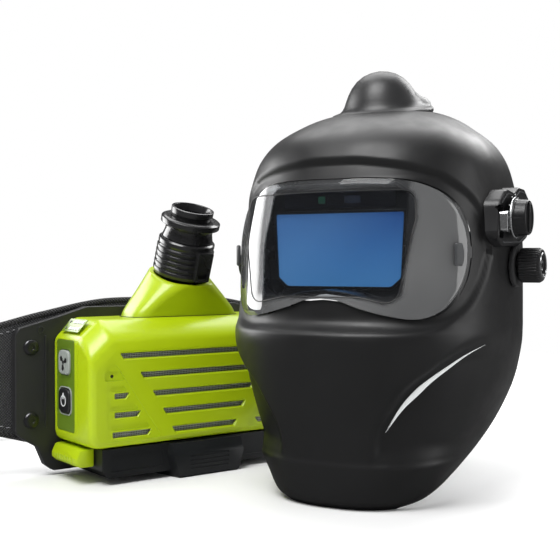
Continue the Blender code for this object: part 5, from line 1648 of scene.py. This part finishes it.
def make_ratchet():
    low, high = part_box("ratchet_knob")
    centre = HELMET.inverted() @ Vector(((low.x + high.x) / 2, low.y, (low.z + high.z) / 2))
    profile = softened([(0.011, 0.0), (0.0146, 0.0006), (0.0152, 0.0018), (0.0156, 0.0084), (0.0146, 0.0100),
                        (0.0128, 0.0112), (0.0060, 0.0108), (0.0050, 0.0096)], 0.0006, 2)

    def lobes(angle, r, height):
        return r * (1 + 0.05 * math.cos(8 * angle)) if r > 0.0125 else r

    knob = raw("ratchet_knob_surface",
               solid_turned(profile, 144, centre=centre, direction=(0, 1, 0), ripple=lobes))
    stand_for("ratchet_knob", knob, HELMET, 45)
    for name in ("ratchet_housing", "side_arm_left", "side_arm_right", "pivot_bolt_left", "pivot_bolt_right"):
        refined(name, 0.0007, 3)
    for name in ("band_tail_left", "band_tail_right"):
        refined(name, 0.0002, 2)


# ---------------------------------------------------------------- air duct and breathing hose

HOSE_RADIUS, HOSE_CUFF, HOSE_PITCH = 0.020, 0.022, 0.0062
HOSE_PATH = [(-0.040, 0.1335, 0.1200), (-0.039, 0.137, 0.085), (-0.037, 0.152, 0.047),
             (-0.040, 0.188, 0.0250), (-0.055, 0.235, 0.0215), (-0.088, 0.290, 0.0215),
             (-0.135, 0.335, 0.0215), (-0.190, 0.345, 0.0215)]
# y, z and x of the middle line, half width, half thickness
DUCT = [(0.1320, 0.122, -0.040, 0.0150, 0.0130), (0.1290, 0.146, -0.040, 0.0150, 0.0080),
        (0.1272, 0.172, -0.040, 0.0155, 0.0060), (0.1130, 0.202, -0.034, 0.0175, 0.0055),
        (0.0930, 0.232, -0.022, 0.0195, 0.0055), (0.0680, 0.253, -0.008, 0.0215, 0.0055),
        (0.0420, 0.2635, 0.000, 0.0230, 0.0055), (0.0300, 0.2640, 0.000, 0.0240, 0.0060)]


def make_duct():
    at = curve_through([(i, *row) for i, row in enumerate(DUCT)])
    last = len(DUCT) - 1
    outer, inner = [], []
    for k in range(71):
        t = last * k / 70
        y, z, x, half, thick = at(t)
        before, after = at(max(t - 0.05, 0)), at(min(t + 0.05, last))
        ahead = Vector((0, after[0] - before[0], after[1] - before[1])).normalized()
        out = Vector((0, ahead.z, -ahead.y))
        lip = 1 + 0.05 * (1 - smoothstep(0.0, 0.3, t))
        for rings, share in ((outer, lip), (inner, 0.82)):
            outline = rectangle(half * share, thick * share, min(thick * 0.95, half * 0.95) * share, steps=6)
            rings.append([Vector((x + u, y, z)) + out * v for u, v in outline])
    duct = raw("air_duct_surface", loft(outer + list(reversed(inner)), caps=False))
    stand_for("air_duct", duct, HELMET, 50)


def make_hose():
    """Corrugated rubber hose with smooth cuffs, and the bayonet plug on its free end."""
    at = curve_through([(i, *p) for i, p in enumerate(HOSE_PATH)])
    last = len(HOSE_PATH) - 1
    fine = [Vector(at(last * k / 2000)) for k in range(2001)]
    walked = [0.0]
    for a, b in zip(fine, fine[1:]):
        walked.append(walked[-1] + (b - a).length)
    total = walked[-1]
    corrugated = total - 2 * HOSE_CUFF
    waves = round(corrugated / HOSE_PITCH)
    rows = 8 * waves
    stops = [HOSE_CUFF * k / 6 for k in range(6)]
    stops += [HOSE_CUFF + corrugated * k / rows for k in range(rows + 1)]
    stops += [total - HOSE_CUFF + HOSE_CUFF * k / 6 for k in range(1, 7)]
    centres, k = [], 0
    for stop in stops:
        while k < 1999 and walked[k + 1] < stop:
            k += 1
        share = (stop - walked[k]) / max(walked[k + 1] - walked[k], 1e-9)
        centres.append(fine[k].lerp(fine[k + 1], min(max(share, 0), 1)))

    def radius(share):
        stop = stops[round(share * (len(stops) - 1))]
        if HOSE_CUFF <= stop <= total - HOSE_CUFF:
            turn = 2 * math.pi * waves * (stop - HOSE_CUFF) / corrugated
            return HOSE_RADIUS - 0.0014 - 0.0014 * math.cos(turn)
        return HOSE_RADIUS - 0.0004

    stand_for("breathing_hose", raw("breathing_hose_surface", tube(centres, radius, 36)), HELMET, 50)
    end = Vector(HOSE_PATH[-1])
    ahead = (end - Vector(HOSE_PATH[-2])).normalized()
    plug = [(0.0140, 0.0), (0.0205, 0.0), (0.0210, 0.004), (0.0204, 0.005), (0.0204, 0.012),
            (0.0210, 0.013), (0.0210, 0.016), (0.0190, 0.020), (0.0172, 0.021), (0.0172, 0.0265),
            (0.0166, 0.0270), (0.0166, 0.0295), (0.0172, 0.0300), (0.0172, 0.036), (0.0140, 0.036)]

    def grips(angle, r, height):
        return r * (1 + 0.012 * math.cos(28 * angle)) if r > 0.0195 and 0.004 < height < 0.013 else r

    body = turned(softened(plug, 0.0004, 2), 112, end + ahead * 0.0035, ahead, grips)
    stand_for("hose_plug", raw("hose_plug_surface", body), HELMET, 45)


# ---------------------------------------------------------------- inner pieces

def make_inner():
    for name, width, segments in (("spark_arrester", 0.0003, 2), ("particle_filter", 0.0005, 2),
                                  ("fan_volute", 0.0004, 2), ("impeller", 0.0003, 2),
                                  ("fan_motor", 0.0005, 2), ("control_board", 0.0002, 1),
                                  ("filter_circuit_board", 0.0002, 1),
                                  ("filter_glass", 0.0004, 2), ("inner_cover_lens", 0.0003, 2),
                                  ("sensor_window", 0.0003, 2), ("buckle_socket", 0.0007, 3),
                                  ("buckle_plug", 0.0006, 2)):
        refined(name, width, segments)


# ---------------------------------------------------------------- stage

def make_stage():
    floor = bpy.data.meshes.new("floor")
    floor.from_pydata([(-1.3, -1.3, 0), (1.4, -1.3, 0), (1.4, 1.3, 0), (-1.3, 1.3, 0)], [], [(0, 1, 2, 3)])
    floor_obj = bpy.data.objects.new("floor", floor)
    bpy.context.scene.collection.objects.link(floor_obj)
    made, tree, shader = new_look("floor", (0.90, 0.90, 0.90), 0.6)
    # dark only where it is mirrored, so the glossy parts don't turn white underneath
    mirrored_ray = node(tree, "ShaderNodeLightPath").outputs["Is Glossy Ray"]
    body = mixed(tree, mirrored_ray, (0.94, 0.94, 0.94), (0.12, 0.12, 0.12))
    tree.links.new(body, shader.inputs["Base Color"])
    floor.materials.append(made)
    world = bpy.data.worlds.new("world")
    world.use_nodes = True
    tree = world.node_tree
    path = node(tree, "ShaderNodeLightPath")
    soft = ranged(tree, path.outputs["Is Glossy Ray"], 0.42, 0.10)
    total = maths(tree, "MAXIMUM", soft, path.outputs["Is Camera Ray"])
    tree.links.new(total, tree.nodes["Background"].inputs["Strength"])
    tree.nodes["Background"].inputs["Color"].default_value = (1.0, 1.0, 1.0, 1)
    bpy.context.scene.world = world
    bpy.context.scene.view_settings.view_transform = "Standard"


def area_light(name, place, target, size, power, size_y=None):
    lamp = bpy.data.lights.new(name, "AREA")
    lamp.energy, lamp.size = power, size
    if size_y:
        lamp.shape, lamp.size_y = "RECTANGLE", size_y
    obj = bpy.data.objects.new(name, lamp)
    bpy.context.scene.collection.objects.link(obj)
    obj.location = place
    obj.rotation_euler = (Vector(target) - Vector(place)).to_track_quat("-Z", "Y").to_euler()
    return obj


CAMERA_TURN, CAMERA_DISTANCE, CAMERA_ASIDE = math.radians(28), 0.85, 0.0875
CAMERA_HEIGHT, CAMERA_DIP, FOCAL = 0.185, 0.016, 64.29


def make_camera():
    """The camera of the photo, and the lights, which are placed by the camera's right and away."""
    right = Vector((math.cos(CAMERA_TURN), math.sin(CAMERA_TURN), 0))
    away = Vector((-math.sin(CAMERA_TURN), math.cos(CAMERA_TURN), 0))
    data = bpy.data.cameras.new("camera")
    data.lens, data.sensor_width, data.clip_start = FOCAL, 36.0, 0.02
    camera = bpy.data.objects.new("camera", data)
    bpy.context.scene.collection.objects.link(camera)
    place = Vector((PIVOT.x, PIVOT.y, 0)) - away * CAMERA_DISTANCE - right * CAMERA_ASIDE
    camera.location = (place.x, place.y, CAMERA_HEIGHT)
    camera.rotation_euler = (math.pi / 2 - math.atan(CAMERA_DIP), 0, CAMERA_TURN)
    bpy.context.scene.camera = camera
    centre = Vector((0.10, 0.02, 0.16))
    area_light("key", centre - away * 0.75 - right * 0.45 + Vector((0, 0, 1.35)), centre, 0.9, 26)
    strip = area_light("left_wall", centre - right * 0.95 + away * 0.42 + Vector((0, 0, 0.15)), centre,
                       0.6, 16, 1.2)
    strip.visible_diffuse = False
    area_light("rim", centre + right * 0.8 + away * 0.8 + Vector((0, 0, 0.9)), centre, 0.6, 8)
    area_light("right_wall", centre + right * 1.2 - away * 0.35 + Vector((0, 0, 0.25)), centre, 0.6, 4, 1.0)
    area_light("floor_wash", centre + away * 1.0 + Vector((0, 0, 1.8)), centre + away * 0.6, 1.6, 30)


# ---------------------------------------------------------------- build

for row in frame["record"]["subparts"]:
    part = frame["nodes"][row["node"]]
    part.data.materials.clear()
    part.data.materials.append(LOOKS[row["material_slot"]])

for make in (
    make_shell, make_accent, make_dome, make_lens, make_lens_groove, make_cassette, make_latches,
    make_pivots, make_controls, make_cover, make_housing, make_funnel, make_outlet, make_keypad,
    make_lights, make_battery, make_back_plate, make_belt, make_webbing, make_face_seal, make_headband,
    make_sweatband, make_crown_strap, make_ratchet, make_duct, make_hose, make_inner, make_stage,
    make_camera,
):
    make()
